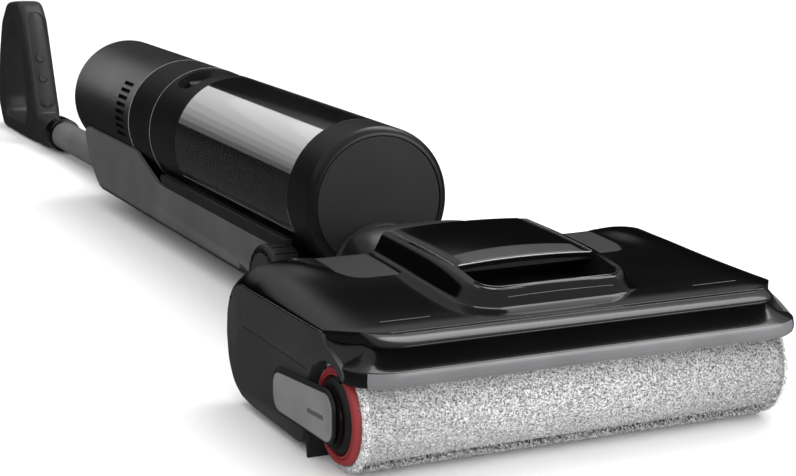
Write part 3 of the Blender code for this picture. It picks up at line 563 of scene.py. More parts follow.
MATERIALS = {
    "gloss": moulded("gloss_black_plastic", (0.0024, 0.0024, 0.0026), 0.11, grain=0.04, coat=0.25,
                     spread_by=0.03),
    "lip": moulded("lip_black_plastic", (0.0050, 0.0050, 0.0053), 0.22, grain=0.04, coat=0.3,
                   spread_by=0.04),
    "satin": moulded("satin_black_plastic", (0.014, 0.014, 0.0145), 0.36, grain=0.18, worn=0.25),
    "matte": moulded("matte_dark_plastic", (0.015, 0.015, 0.0155), 0.50, grain=0.30),
    "loop": moulded("handle_plastic", (0.017, 0.017, 0.0175), 0.42, grain=0.20, worn=0.2),
    "side": moulded("side_panel_plastic", (0.033, 0.033, 0.034), 0.46, grain=0.28, worn=0.35),
    "deck": moulded("deck_plastic", (0.030, 0.030, 0.031), 0.40, grain=0.22),
    "patch": moulded("patch_plastic", (0.012, 0.012, 0.0124), 0.46, grain=0.20),
    "base": moulded("tank_base_plastic", (0.0075, 0.0075, 0.0078), 0.34, grain=0.12),
    "housing": moulded("housing_coating", (0.0065, 0.0065, 0.0068), 0.40, grain=0.12),
    "spine": moulded("spine_plastic", (0.088, 0.088, 0.090), 0.50, grain=0.30, worn=0.2),
    "lever": moulded("lever_plastic", (0.200, 0.200, 0.203), 0.48, grain=0.20),
    "mark": moulded("mark_plastic", (0.085, 0.085, 0.087), 0.50, grain=0.20),
    "slider": moulded("slider_plastic", (0.075, 0.075, 0.077), 0.40, grain=0.20),
    "strip": moulded("front_strip_plastic", (0.165, 0.165, 0.170), 0.32, grain=0.12, coat=0.4),
    "red": moulded("red_ring_plastic", (0.27, 0.028, 0.032), 0.42, grain=0.15),
    "inner": moulded("inner_grey_plastic", (0.060, 0.062, 0.066), 0.50, grain=0.25),
    "cell": moulded("cell_wrap", (0.030, 0.080, 0.220), 0.38, grain=0.10),
    "void": moulded("dark_recess_plastic", (0.0035, 0.0035, 0.0035), 0.55, grain=0.20),
    "rubber": rubbery("black_rubber", (0.011, 0.011, 0.011)),
    "tube": moulded("tube_coating", (0.130, 0.130, 0.134), 0.40, grain=0.12, coat=0.10),
    "steel": brushed_metal("brushed_steel", (0.55, 0.55, 0.56), 0.28, (0.05, 1.0, 1.0)),
    "silver": brushed_metal("polished_silver", (0.62, 0.62, 0.63), 0.20, (1.0, 1.0, 1.0)),
    "fleece": fleece("roller_fleece"),
    "window": smoked_plastic("smoked_window", (0.010, 0.010, 0.0105), 0.93),
    "tube_clear": smoked_plastic("smoked_tube", (0.10, 0.10, 0.10), 0.55),
    # hairline and print: thin light lines; along the grip's sides and the creases they are painted
    # highlights, elsewhere foil trim and print
    "hairline": print_and_highlight_line("silver_hairline", (0.42, 0.42, 0.43), 0.35, 0.6),
    "seam": print_and_highlight_line("seam_line", (0.30, 0.30, 0.31), 0.40),
    "print": print_and_highlight_line("grey_print", (0.16, 0.16, 0.165), 0.45),
}


# ---- placing ------------------------------------------------------------------------------------
def to_row(thing):
    """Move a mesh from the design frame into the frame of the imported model."""
    thing.data.transform(Matrix.Translation((0.0, AXIS_Y, 0.0)))


def piece(thing, material, body, replaces=(), sharp=38):
    """Finish a piece: material, shading, place, body, and the CAD nodes that it stands for."""
    to_row(thing)
    thing.data.materials.clear()
    thing.data.materials.append(MATERIALS[material])
    thing.data.shade_smooth()
    thing.data.set_sharp_from_angle(angle=math.radians(sharp))
    if sharp < 180:
        flat = thing.modifiers.new("flat_faces", "WEIGHTED_NORMAL")
        flat.keep_sharp = True
        applied(thing)
    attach(thing, body)
    if replaces:
        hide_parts(*replaces)
    return thing


def refinish(node, material):
    """Give a CAD node that stays its procedural material."""
    thing = frame["nodes"][node]
    if not thing.material_slots:
        thing.data.materials.append(None)
    for slot in thing.material_slots:
        slot.material = MATERIALS[material]


# ---- cover surface ------------------------------------------------------------------------------
# (y, height) along the middle of the deck, and along the crown of the hump
DECK = [(SEAM_Y, 0.0784), (-0.0100, 0.0793), (0.0, 0.0799), (0.010, 0.0804), (0.060, 0.0827),
        (0.100, 0.0848), (0.128, 0.0858)]
HUMP_TOP = [(-0.004, 0.0880), (0.0065, 0.0903), (0.0435, 0.0957), (0.080, 0.0980), (0.131, 0.0993)]
REAR_BEND = 0.128                           # from here the deck rounds down to the back
SIDE_FALL, SIDE_FALL_X = (0.0032, 0.0105), 0.102    # fall towards the sides, front and back, and its start
SHOULDER = (0.109, 0.120)                   # middle of the swelling at each rear corner
ROLL_X = HEAD_HALF - EDGE_R                 # where the top starts to roll into the sides


def rolled(x):
    """0 on the shells' top, 1 at the outer edge of the roll into their sides."""
    return clamp((abs(x) - ROLL_X) / EDGE_R)


def corner_setback(x):
    """How far the cover's front edge, with its rounded corners, lies behind its middle, at x."""
    t = clamp(abs(x) - (HEAD_HALF - CORNER_R), 0.0, CORNER_R)
    return CORNER_R - math.sqrt(max(CORNER_R * CORNER_R - t * t, 0.0))


def deck_height(x, y):
    """Top of the head's shells without the hump."""
    z = through(DECK, y)
    room = z - SKIRT_Z
    if y > REAR_BEND:
        t = clamp((y - REAR_BEND) / (SHELL_REAR - REAR_BEND))
        z = SKIRT_Z + room * math.sqrt(max(1 - t * t, 0.0))
    fall = mix(*SIDE_FALL, clamp((y + 0.002) / 0.116)) * (z - SKIRT_Z) / room
    z -= fall * clamp((abs(x) - SIDE_FALL_X) / (HEAD_HALF - SIDE_FALL_X)) ** 5
    shoulder = math.exp(-((abs(x) - SHOULDER[0]) / 0.012) ** 2 - ((y - SHOULDER[1]) / 0.020) ** 2)
    past = clamp(abs(x) - ROLL_X, 0.0, EDGE_R)
    roll = EDGE_R - math.sqrt(EDGE_R ** 2 - past ** 2)
    return z + (0.0012 * shoulder - roll) * (z - SKIRT_Z) / room


def hump_share(x, y):
    """0 outside the hump's foot, 1 on its flat top."""
    a, b = abs(x) - (HUMP[0] - HUMP_CORNER_R), (HUMP[1] + HUMP_CORNER_R) - y
    outside = math.hypot(a, b) if a > 0 and b > 0 else max(a, b)
    return flank(clamp((HUMP_CORNER_R - outside) / HUMP_SLOPE))


def flank(t, foot=0.22, top=0.40):
    """0 to 1 along a straight slope with a tight hollow at its foot and a wider roll at its top."""
    steep = 1 / (1 - foot / 2 - top / 2)
    if t < foot:
        return steep * t * t / (2 * foot)
    if t > 1 - top:
        return 1 - steep * (1 - t) ** 2 / (2 * top)
    return steep * (t - foot / 2)


def top_height(x, y):
    """Top of the sliding cover."""
    base = deck_height(x, min(y, REAR_BEND))
    crown = through(HUMP_TOP, y) - 0.0016 * (x / GRIP_HALF) ** 2
    return mix(base, crown, hump_share(x, y))


def roll_stations():
    """Columns in the roll from the top into the right side."""
    return [ROLL_X + EDGE_R * math.sin(math.radians(a)) for a in spread(0, 90, 7)]


def x_stations():
    """Columns of the cover's grid, closest on the hump's slopes and in the rolls at the sides."""
    half = chained((0.0, 0.040, 15), (0.040, 0.060, 51), (0.060, 0.100, 16), (0.100, 0.128, 13),
                   (0.128, ROLL_X, 11))[:-1] + roll_stations()
    return [-x for x in reversed(half[1:])] + half


def y_stations():
    """Rows of the cover's grid, closest on the hump's front slope."""
    return chained((SEAM_Y, -0.004, 8), (-0.004, 0.012, 42), (0.012, 0.060, 25),
                   (0.060, COVER_REAR - 0.0004, 26))


def notch_outline(inset):
    """Plan of the hinge cover on the right: a rounded corner in front, open at the back."""
    inner, outer, front, past = 0.0585 + inset, 0.0945 - inset, 0.0800 + inset, 0.170
    points = [(inner, past), (inner, front), (outer - 0.0060, front), (outer, front + 0.0160),
              (outer, past)]
    return fillet(points, [0, 0.006, 0.012, 0.012, 0], 8)


def build_cover_top():
    """Thin shell with the hump, the finger pocket and a notch for each hinge cover."""
    thickness, edge_thickness = 0.0022, 0.0001
    bent_back = 0.055                           # depth over which the rows bend with the corners
    rows = []
    for y0 in y_stations():
        row = []
        for x in x_stations():
            y = y0 + corner_setback(x) * clamp(1 - (y0 - SEAM_Y) / bent_back)
            row.append((x, y, top_height(x, y)))
        rows.append(row)
    under = [[(x, y, z - mix(thickness, edge_thickness, rolled(x))) for x, y, z in row] for row in rows]
    shell = slab("cover_top", rows, under)
    cut_heights = (0.070, 0.110)
    cutters = []
    for _, sign in SIDES:
        outline = [(sign * x, y) for x, y in notch_outline(0.0)]
        cutters.append(prism("notch", outline, "Z", cut_heights))
    cutters.append(prism("pocket", pocket_outline(0.0), "Z", cut_heights))
    cut(shell, *cutters)
    piece(shell, "gloss", "cover", ["roller_cover"], sharp=30)


def pocket_outline(inset):
    """Plan of the finger pocket's mouth."""
    half, front, back = GRIP_HALF - 0.0003 - inset, 0.0072 + inset, GRIP_FRONT + 0.0010 - inset
    corners = [(-half, back), (-half, front), (half, front), (half, back)]
    return fillet(corners, [0.002, 0.013, 0.013, 0.002], 12)


def build_pocket():
    """Dark liner of the finger pocket, which goes on under the grip panel, and a rim round its mouth."""
    floor_z, back = 0.0802, 0.066               # the pocket's floor, and its end under the panel
    mouth = pocket_outline(0.0002)
    rings = [[(x, y, top_height(x, y) - 0.0004) for x, y in mouth],
             [(x * 0.985, clamp(y, 0.0085, back), top_height(x, y) - 0.0040) for x, y in mouth],
             [(x * 0.93, 0.0115 if y < 0.020 else back, floor_z) for x, y in mouth]]
    count = len(mouth)
    verts = [p for ring in rings for p in ring]
    faces = []
    for r in range(2):
        for k in range(count):
            n = (k + 1) % count
            faces.append((r * count + k, r * count + n, (r + 1) * count + n, (r + 1) * count + k))
    faces.append(tuple(range(2 * count, 3 * count)))
    liner = raw("finger_pocket_liner", verts, faces)
    solid = liner.modifiers.new("wall", "SOLIDIFY")
    solid.thickness = 0.0008
    solid.offset = 1.0
    applied(liner)
    piece(liner, "void", "cover")
    beads = (("finger_pocket_rim", -0.0005, 0.0006), ("finger_pocket_step", -0.0024, 0.0003))
    for name, inset, bead in beads:
        line = [p for p in pocket_outline(inset) if p[1] < GRIP_FRONT - 0.001]
        rim = [(Vector((x, y, top_height(x, y) + 0.0001)), bead) for x, y in line]
        piece(tube_along(name, rim, 8), "lip", "cover")
    front = [(on_top(x, 0.0022, 0.00005), 0.00018) for x in spread(-0.033, 0.033, 30)]
    piece(tube_along("hump_front_line", front, 6), "print", "cover")


def tube_along(name, path, sides=8, flat=1.0):
    """A round bead along (point, radius) pairs; flat squashes it in height."""
    rings = []
    for i, (point, radius) in enumerate(path):
        before, after = path[max(i - 1, 0)][0], path[min(i + 1, len(path) - 1)][0]
        along = (after - before).normalized()
        side = along.cross(Vector((0, 0, 1)))
        side = side.normalized() if side.length > 1e-6 else Vector((1, 0, 0))
        up = side.cross(along).normalized() * flat
        rings.append([point + radius * (math.cos(a) * side + math.sin(a) * up)
                      for a in (2 * math.pi * k / sides for k in range(sides))])
    return skin(name, rings)


def on_top(x, y, lift=0.0):
    """A point on the sliding cover, or a little above it."""
    return Vector((x, y, top_height(x, y) + lift))


def build_grip():
    """Grip panel on the hump, its lighter front inlay, its silver front edge and its side lines, which are
    painted highlights.
    """
    def sheet(name, half, y0, y1, lift, thick, curve):
        """A plate that lies on the hump from y0 to y1, with a bowed rear edge and rolled sides."""
        rows_top, rows_low = [], []
        for v in spread(0.0, 1.0, 24):
            top, low = [], []
            for u in spread(-1.0, 1.0, 29):
                y = mix(y0, y1, v) + curve * (1 - u * u) * v
                p = on_top(u * half, y, lift)
                side_drop = 0.0008 * clamp((abs(u) - 0.985) / 0.015)
                front_drop = 0.0006 * clamp(1 - v / 0.02)
                top.append((p.x, p.y, p.z - (side_drop + front_drop)))
                low.append((p.x, p.y, p.z - thick))
            rows_top.append(top)
            rows_low.append(low)
        rings = [t + list(reversed(b)) for t, b in zip(rows_top, rows_low)]
        return skin(name, rings)

    rear = COVER_REAR - 0.0012
    piece(sheet("grip_plate", GRIP_HALF, GRIP_FRONT, rear, 0.0006, 0.0030, 0.0), "gloss", "cover",
          ["grip_panel"])
    inlay = sheet("grip_inlay_front", GRIP_HALF - 0.004, GRIP_FRONT + 0.0005, GRIP_FRONT + 0.0150,
                  0.0009, 0.0010, 0.0045)
    piece(inlay, "deck", "cover")
    edge = [(on_top(x, GRIP_FRONT + 0.0001, 0.0003), 0.00035) for x in spread(-0.0425, 0.0425, 40)]
    piece(tube_along("grip_front_line", edge), "hairline", "cover")
    # The two light lines along each side of the grip are painted highlights: light beads where the hump's
    # edges catch the light.
    for side, sign in SIDES:
        line = [(on_top(sign * (GRIP_HALF + 0.0006), y, 0.0002), 0.00022) for y in spread(0.046, rear, 40)]
        piece(tube_along("grip_line_" + side, line), "hairline", "cover")
        outer = [(on_top(sign * (GRIP_HALF + 0.0024), y, 0.0001), 0.00016) for y in spread(0.100, rear, 20)]
        piece(tube_along("grip_outer_line_" + side, outer), "print", "cover")
    for side, ends in (("left", (-0.110, -0.081)), ("right", (0.084, 0.113))):
        dash = [(on_top(x, 0.0, 0.00002), 0.00022) for x in spread(*ends, 16)]
        piece(tube_along("front_dash_" + side, dash, 6, 0.4), "print", "cover")


def plan_path(half, front, radius, last, steps):
    """Points round the front of the cover as (x, y, nx, ny), from the left corner to the right one.

    last is how far round its corner the path goes, in degrees.
    """
    right = []
    for a in spread(0.0, last, steps):
        s, c = math.sin(math.radians(a)), math.cos(math.radians(a))
        right.append((half - radius + radius * s, front + radius - radius * c, s, -c))
    left = [(-x, y, -nx, ny) for x, y, nx, ny in reversed(right)]
    middle = [(x, front, 0.0, -1.0) for x in spread(-(half - radius), half - radius, 40)[1:-1]]
    return left + middle + right


def build_lip():
    """Upper lip of the cover, which fades out round the corners, and the two fine seams along it."""
    bottom = 0.0722
    profile = [(0.0004, 0.0784), (0.0030, 0.07805), (0.0055, 0.0776), (0.0075, 0.0771), (0.0092, 0.0765),
               (0.0106, 0.0757), (0.0116, 0.0749), (0.0121, 0.0742), (0.0123, 0.0736), (0.0121, 0.0731),
               (0.0112, 0.0727), (0.0080, 0.0724), (0.0, bottom), (-0.0050, bottom), (-0.0050, 0.0772)]
    rings = []
    for x, y, nx, ny in plan_path(HEAD_HALF - 0.0002, SEAM_Y, CORNER_R, 86.0, 24):
        fade = max(smooth((-ny - 0.78) / 0.20), 0.012)
        lift = top_height(x, max(y, SEAM_Y)) - through(DECK, SEAM_Y)
        rings.append([(x + nx * o * fade, y + ny * o * fade, z + lift * clamp((z - bottom) / 0.0060))
                      for o, z in profile])
    piece(skin("cover_lip", rings), "lip", "cover", sharp=60)
    seams = (("front_seam", SEAM_Y + 0.0003, 0.0784, (-0.112, 0.120)),
             ("front_seam_low", SEAM_Y - 0.0030, 0.07805, (-0.106, 0.112)))
    for name, y, z, ends in seams:
        line = [(Vector((x, y, z)), 0.00014) for x in spread(*ends, 40)]
        piece(tube_along(name, line, 6), "print", "cover")


VISOR_HALF, VISOR_FRONT, VISOR_R = 0.1250, -0.0220, 0.0095      # the visor's plan, with its corners
# (distance in front of the plan, height) down the visor's band and down the strip below it, and
# (height, y) up the front edge of the side plates, where the visor ends
VISOR_SKIN = [(-0.0010, 0.0723), (0.0004, 0.0702), (0.0022, 0.0680), (0.0055, 0.0657), (0.0100, 0.0639),
              (0.0134, 0.0628), (0.0142, 0.0623)]
STRIP_SKIN = [(0.0142, 0.0622), (0.0146, 0.0616), (0.0150, 0.0590), (0.0150, 0.0568), (0.0144, 0.0549),
              (0.0128, 0.0536), (0.0110, 0.0530)]
PLATE_FRONT = [(0.0618, -0.0150), (0.0630, -0.0140), (0.0670, -0.0060), (0.0700, 0.0030), (0.0710, 0.0050),
               (0.0770, 0.0060)]


def visor_rings(profile):
    """Sections of the visor along its front, with ends that run back to the side plates."""
    rings = []
    for x, y, nx, ny in plan_path(VISOR_HALF, VISOR_FRONT, VISOR_R, 90.0, 10):
        rings.append([Vector((x + nx * o, y + ny * o, z)) for o, z in profile])
    tails = []
    for end, sign in ((rings[0], -1), (rings[-1], 1)):
        tail = []
        for t in spread(0.0, 1.0, 8)[1:]:
            ring = []
            for point, (_, z) in zip(end, profile):
                y_end = through(PLATE_FRONT, z) if z > PLATE_FRONT[0][0] else -0.0135
                goal = Vector((sign * (HEAD_HALF - 0.0012), y_end + 0.0010, z))
                ring.append(point.lerp(goal, t))
            tail.append(ring)
        tails.append(tail)
    return list(reversed(tails[0])) + rings + tails[1]


def build_visor():
    """Concave black band under the lip, and the strip below it, which has black ends."""
    band = VISOR_SKIN + [(0.0118, 0.0602), (0.0050, 0.0640), (-0.0040, 0.0690), (-0.0040, 0.0723)]
    piece(skin("visor_band", visor_rings(band)), "lip", "cover", ["front_visor"], sharp=50)
    strip = STRIP_SKIN + [(0.0095, 0.0535), (0.0090, 0.0560), (0.0100, 0.0600), (0.0120, 0.0618)]
    rings = visor_rings(strip)
    corner = 12                                 # rings in each of its black ends
    piece(skin("visor_strip", rings[corner:-corner]), "strip", "cover", sharp=50)
    for side, part in (("left", rings[:corner + 1]), ("right", rings[-corner - 1:])):
        piece(skin("visor_end_" + side, part), "lip", "cover", sharp=50)


def crease(y):
    """Height of the lower edge of the roll between the shells' top and their sides."""
    return deck_height(HEAD_HALF, y)


def build_side_plates():
    """Sides of the sliding cover, which arch over the roller's ends and reach forward to the visor, and a
    painted highlight line along each crease.
    """
    outline = [(y, crease(y) - 0.0001) for y in spread(0.0075, COVER_REAR - 0.0004, 24)]
    outline += [(COVER_REAR - 0.0004, SKIRT_Z + 0.0016), (COVER_REAR - 0.0018, SKIRT_Z + 0.0002),
                (0.0290, SKIRT_Z + 0.0002), (0.0240, 0.0606)]
    outline += arc((0.0, ROLLER_Z), ARCH_R, 50, 127, 17)
    outline += [(-0.0190, 0.0566), (-0.0195, 0.0582), (-0.0188, 0.0602), (-0.0169, 0.0619),
                (-0.0120, 0.0643), (-0.0069, 0.0666), (-0.0020, 0.0684), (0.0022, 0.0698),
                (0.0050, 0.0713), (0.0064, 0.0732), (0.0068, 0.0752)]
    thickness = 0.0032
    for side, sign in SIDES:
        ends = sorted((sign * (HEAD_HALF - thickness), sign * HEAD_HALF))
        plate = prism("cover_side_" + side, outline, "X", ends)
        piece(rounded(plate, 0.0005, 3, 50), "side", "cover")
        # A light bead along each crease is a painted highlight of the rolled edge between the top and the
        # side.
        line = [(Vector((sign * (HEAD_HALF - 0.0003), y, crease(y) + 0.0006)), 0.0002)
                for y in spread(0.0080, COVER_REAR - 0.0006, 40)]
        piece(tube_along("crease_line_" + side, line, 6), "print", "cover")


# ---- head ---------------------------------------------------------------------------------------
def build_side_panels():
    """Outer panels of the head, cut away round the roller's ends and swept up at the back."""
    opening = arc((0.0, ROLLER_Z), PANEL_ARCH_R, -8, 50, 16)
    rear = [(y, crease(y) - 0.0001) for y in spread(COVER_REAR, 0.1475, 10)]
    back = fillet([(0.1500, 0.0640), (0.1545, 0.0530), (PANEL_REAR, 0.0400), (0.1535, 0.0240),
                   (0.1450, 0.0125), (0.1320, 0.0070), (0.1150, PANEL_BOTTOM), (0.0400, PANEL_BOTTOM),
                   (0.0345, 0.0150)], [0.004] + [0.02] * 6 + [0.003] * 2, 6)
    seam = [(0.0245, 0.0602), (0.0290, SKIRT_Z - 0.0002), (COVER_REAR - 0.0016, SKIRT_Z - 0.0002),
            (COVER_REAR, SKIRT_Z + 0.0014)]
    for side, sign in SIDES:
        ends = sorted((sign * (ROLLER_HALF + GAP), sign * HEAD_HALF))
        panel = prism("side_skin_" + side, opening + seam + rear + back, "X", ends)
        rounded(panel, 0.0004, 3)
        if side == "right":
            right_through = (0.129, HEAD_HALF + 0.002)
            cut(panel, prism("bay", belt_loop(BELT_GUARD + GAP), "X", right_through))
        piece(panel, "side", "head", ["side_panel_" + side])


def belt_loop(offset, steps=24):
    """Closed loop round the two pulleys of the belt drive, at a distance from the pulleys' rims."""
    y1, z1 = (sum(reach("motor_pulley", a)) / 2 for a in "yz")
    run = math.hypot(y1, z1 - ROLLER_Z)
    lean = math.atan2(z1 - ROLLER_Z, y1)
    wrap = math.atan2(PULLEY_R - MOTOR_PULLEY_R, run)
    low, high = lean - math.pi / 2 + wrap, lean + math.pi / 2 - wrap
    small, big = MOTOR_PULLEY_R + offset, PULLEY_R + offset
    loop = [(y1 + small * math.cos(a), z1 + small * math.sin(a)) for a in spread(low, high, steps)]
    loop += [(big * math.cos(a), ROLLER_Z + big * math.sin(a))
             for a in spread(high, low + 2 * math.pi, steps)]
    return loop


def build_drive_covers():
    """Belt cover let into the right side panel, and the rounded motor cover on it."""
    cover = prism("belt_guard", belt_loop(BELT_GUARD), "X", (HEAD_HALF - 0.0030, HEAD_HALF - 0.0003))
    piece(rounded(cover, 0.0007, 3), "satin", "head")
    low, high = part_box("motor_cover")
    centre = ((low.y + high.y) / 2 - AXIS_Y, (low.z + high.z) / 2)
    half = ((high.y - low.y) / 2, (high.z - low.z) / 2)
    cap = prism("motor_cap", pill(centre, *half, 0.010), "X", (HEAD_HALF, high.x))
    rounded(cap, 0.0034, 6)
    outer, inner = [pill(centre, half[0] - inset, half[1] - inset, radius)
                    for inset, radius in ((0.0060, 0.005), (0.0068, 0.0045))]
    cut(cap, ring_from(outer, inner, (high.x - 0.0007, high.x + 0.001)))
    piece(cap, "side", "head", ["motor_cover"])


def ring_from(outer, inner, span):
    """A closed frame between two outlines of equal length in (y, z), with a thickness along X."""
    rings = []
    for a, b in zip(outer, inner):
        rings.append([(span[0], *a), (span[1], *a), (span[1], *b), (span[0], *b)])
    return skin("frame", rings, wrap=True)


def build_rear_shells():
    """Closed rear shells, which carry on the cover's surface and round it down at the back."""
    inner = 0.0945                              # beside the hinge covers
    ys = spread(COVER_REAR + 0.0003, REAR_BEND + 0.006, 3) + [
        REAR_BEND + (SHELL_REAR - REAR_BEND) * math.sin(math.radians(a)) for a in spread(20, 90, 16)]
    for side, sign in SIDES:
        rings = []
        for x in spread(inner, ROLL_X, 28)[:-1] + roll_stations():
            top = [(sign * x, y, max(deck_height(x, y), SKIRT_Z + 0.0004)) for y in ys]
            low = [(sign * x, y, mix(SKIRT_Z, z - 0.0001, rolled(x))) for _, y, z in reversed(top)]
            rings.append(top + low)
        shell = skin("rear_skin_" + side, rings)
        piece(shell, "gloss", "head", ["rear_shell_" + side])


def build_hinge_covers():
    """Deck patches beside the hump, in the notches of the sliding cover, with rolled edges."""
    outline = notch_outline(GAP)
    front, rear, underside = 0.0807, 0.1500, 0.0672
    ys = [front + 0.030 * (k / 14) ** 1.6 for k in range(15)] + spread(0.1107, rear, 22)[1:]
    for side, sign in SIDES:
        rows = []
        for y in ys:
            left, right = sides_at(outline, y)
            row = []
            for u in spread(0.0, 1.0, 25):
                x = mix(left, right, u)
                edge = min(x - left, right - x, (y - front) + 0.0001)
                roll = 0.0008 * (1 - clamp(edge / 0.0010)) ** 2
                t = clamp((y - REAR_BEND) / (rear - REAR_BEND))
                bend = 0.0175 * (1 - math.sqrt(1 - 0.98 * t * t))
                row.append((sign * x, y, deck_height(x, min(y, REAR_BEND)) - 0.0006 - bend - roll))
            rows.append(row)
        rings = [row + [(*row[-1][:2], underside), (*row[0][:2], underside)] for row in rows]
        piece(skin("hinge_patch_" + side, rings), "patch", "head", ["hinge_cover_" + side])


def sides_at(outline, y):
    """Lowest and highest x where a closed outline crosses y."""
    found = []
    for (x0, y0), (x1, y1) in zip(outline, outline[1:] + outline[:1]):
        if (y0 - y) * (y1 - y) <= 0 and abs(y1 - y0) > 1e-9:
            found.append(x0 + (x1 - x0) * (y - y0) / (y1 - y0))
    return (min(found), max(found)) if len(found) > 1 else (0.064, 0.086)


# ---- roller -------------------------------------------------------------------------------------
def build_sleeve():
    """Fleece sleeve: a soft core with thousands of short tufts that lean at random."""
    axis = (0.0, ROLLER_Z)
    core_r, end = ROLLER_R - 0.0012, 0.0036     # radius under the tufts, and rounding of the core's ends
    half = ROLLER_HALF - GAP
    overlap = 0.0018                            # how far the fleece laps over the ring at the left end
    bore_r, step_r = 0.0243, 0.0271             # inside of the sleeve, and of its lap over the ring
    rim = arc((half - end, core_r - end), end, 90, 0, 8)
    profile = [(r, a) for a, r in rim] + [(r, -a - overlap) for a, r in reversed(rim)]
    profile += [(step_r, -half - overlap), (step_r, -half), (bore_r, -half), (bore_r, half)]
    sleeve = turned("sleeve_core", profile, "X", axis, 128)
    dice = random.Random(11)
    verts, faces = [], []
    tip_limit = ROLLER_R - 0.00005
    for _ in range(26000):
        x = dice.uniform(-half, half)
        edge = max(abs(x) - (half - end), 0.0)
        shift = -overlap * smooth(-x / half)
        root_r = core_r - end + math.sqrt(max(end * end - edge * edge, 0.0))
        a = dice.uniform(0, 2 * math.pi)
        lean = edge / end
        out = Vector((math.copysign(lean, x), math.cos(a) * (1 - lean), math.sin(a) * (1 - lean)))
        out = (out + Vector([dice.gauss(0, 0.42) for _ in range(3)])).normalized()
        root = Vector((x + shift, root_r * math.cos(a), ROLLER_Z + root_r * math.sin(a)))
        tip = root + out * dice.uniform(0.0010, 0.0024)
        r = math.hypot(tip.y, tip.z - ROLLER_Z)
        limit = tip_limit - (0.0016 if tip.x < -ROLLER_HALF else 0.0)
        if r > limit:
            tip.y *= limit / r
            tip.z = ROLLER_Z + (tip.z - ROLLER_Z) * limit / r
        tip.x = clamp(tip.x, -ROLLER_HALF - 0.0045, ROLLER_HALF - 0.0001)
        side = out.cross(Vector([dice.uniform(-1, 1) for _ in range(3)])).normalized()
        other = out.cross(side)
        width = dice.uniform(0.00022, 0.00040)
        root -= out * 0.0004
        s = len(verts)
        for k in range(3):
            turn = 2 * math.pi * k / 3
            verts.append(root + width * (math.cos(turn) * side + math.sin(turn) * other))
        verts.append(tip)
        faces += [(s, s + 1, s + 3), (s + 1, s + 2, s + 3), (s + 2, s, s + 3), (s, s + 2, s + 1)]
    tufts = raw("tufts", verts, faces, fix_normals=False)
    piece(joined("roller_fleece", sleeve, tufts), "fleece", "roller", ["roller_sleeve"], sharp=180)


def build_roller_end():
    """Red ring and end cap at the left end of the roller."""
    axis = (0.0, ROLLER_Z)
    red = [(0.0214, -0.1313), (0.0214, -0.1352), (0.0219, -0.1360), (0.0226, -0.1358), (0.0231, -0.1351),
           (0.0237, -0.1358), (0.0248, -0.1362), (0.0257, -0.1358), (0.0264, -0.1348), (0.0268, -0.1335),
           (0.0268, -0.1313)]
    piece(turned("end_ring", red, "X", axis, 128), "red", "roller", ["roller_end_ring"])
    cap = [(0.0, -0.1180), (0.0, -0.1372), (0.0160, -0.1376), (0.0172, -0.1378), (0.0182, -0.1376),
           (0.0194, -0.1368), (0.0204, -0.1357), (0.0210, -0.1343), (0.0211, -0.1330), (0.0211, -0.1180)]
    piece(turned("end_cap", cap, "X", axis, 96), "patch", "roller", ["roller_end_cap"])


def build_lever():
    """Release lever: dark frame, grey pad with a small slot mark, and the hub that it holds."""
    rear = reach("release_lever", "y")[1]
    outer, inner = reach("release_lever", "x")
    face = reach("release_lever_pad", "x")[0]
    outline = fillet([(-0.0122, 0.0489), (-0.0122, 0.0181), (rear, 0.0152), (rear, 0.0408)], 0.0105, 10)
    rim = prism("lever_frame", outline, "X", (outer, inner))
    piece(rounded(rim, 0.0007, 4), "satin", "lever", ["release_lever"])
    end = rear - 0.0021
    outline = fillet([(-0.0104, 0.0462), (-0.0104, 0.0197), (end, 0.0170), (end, 0.0384)], 0.0085, 10)
    pad = prism("lever_pad", outline, "X", (face, outer + 0.0004))
    rounded(pad, 0.0003, 3)
    mark_centre, mark_half, slant = (0.0110, 0.0307), (0.0110, 0.0011), math.radians(-4.0)
    slot = pill(mark_centre, mark_half[0] + 0.0002, mark_half[1] + 0.0002, 0.0006, slant)
    cut(pad, prism("mark", slot, "X", (face - 0.001, face + 0.0005)))
    piece(pad, "lever", "lever", ["release_lever_pad"])
    mark = prism("lever_mark", pill(mark_centre, *mark_half, 0.0005, slant), "X",
                 (face + 0.0002, face + 0.0007))
    piece(mark, "mark", "lever")
    hub = [(0.0, -0.1383), (0.0165, -0.1383), (0.0165, -0.1396), (0.0158, -HEAD_HALF), (0.0, -HEAD_HALF)]
    hub = turned("lever_hub", hub, "X", (0.0, ROLLER_Z), 64)
    piece(hub, "gloss", "lever", ["roller_end_hub"])


# ---- neck, arm and wheels -----------------------------------------------------------------------
def build_neck():
    """Tilting barrel that flows into the round swivel joint behind it."""
    tilt = (sum(reach("tilt_pin_left", "y")) / 2, sum(reach("tilt_pin_left", "z")) / 2)
    radius = tilt[0] - NECK[0]
    half = reach("neck_shell", "x")[1]
    boxy = 7.0                                  # squareness of the barrel's section; 2 is round
    rings = []
    stations = [tilt[0] - radius * math.cos(math.radians(a)) for a in spread(4, 90, 20)]
    stations += spread(tilt[0], NECK[1], 24)[1:]
    for y in stations:
        if y <= tilt[0]:
            tall = math.sqrt(max(radius ** 2 - (y - tilt[0]) ** 2, 0.0))
            middle, wide, power = tilt[1], half - GAP, boxy
        else:
            t = smooth((y - tilt[0]) / (NECK[1] - tilt[0]))
            tall, middle = mix(radius, SWIVEL_R, t), mix(tilt[1], SWIVEL_Z, t)
            wide, power = mix(half - GAP, SWIVEL_R, smooth((t - 0.05) / 0.80)), mix(boxy, 2.0, t ** 0.5)
        ring = []
        for k in range(96):
            a = 2 * math.pi * k / 96
            c, s = math.cos(a), math.sin(a)
            x = wide * math.copysign(abs(c) ** (2 / power), c)
            z = middle + tall * math.copysign(abs(s) ** (2 / max(power * 0.55, 2.0)), s)
            ring.append((x, y, z))
        rings.append(ring)
    piece(skin("neck_body", rings), "housing", "neck", ["neck_shell"], sharp=50)


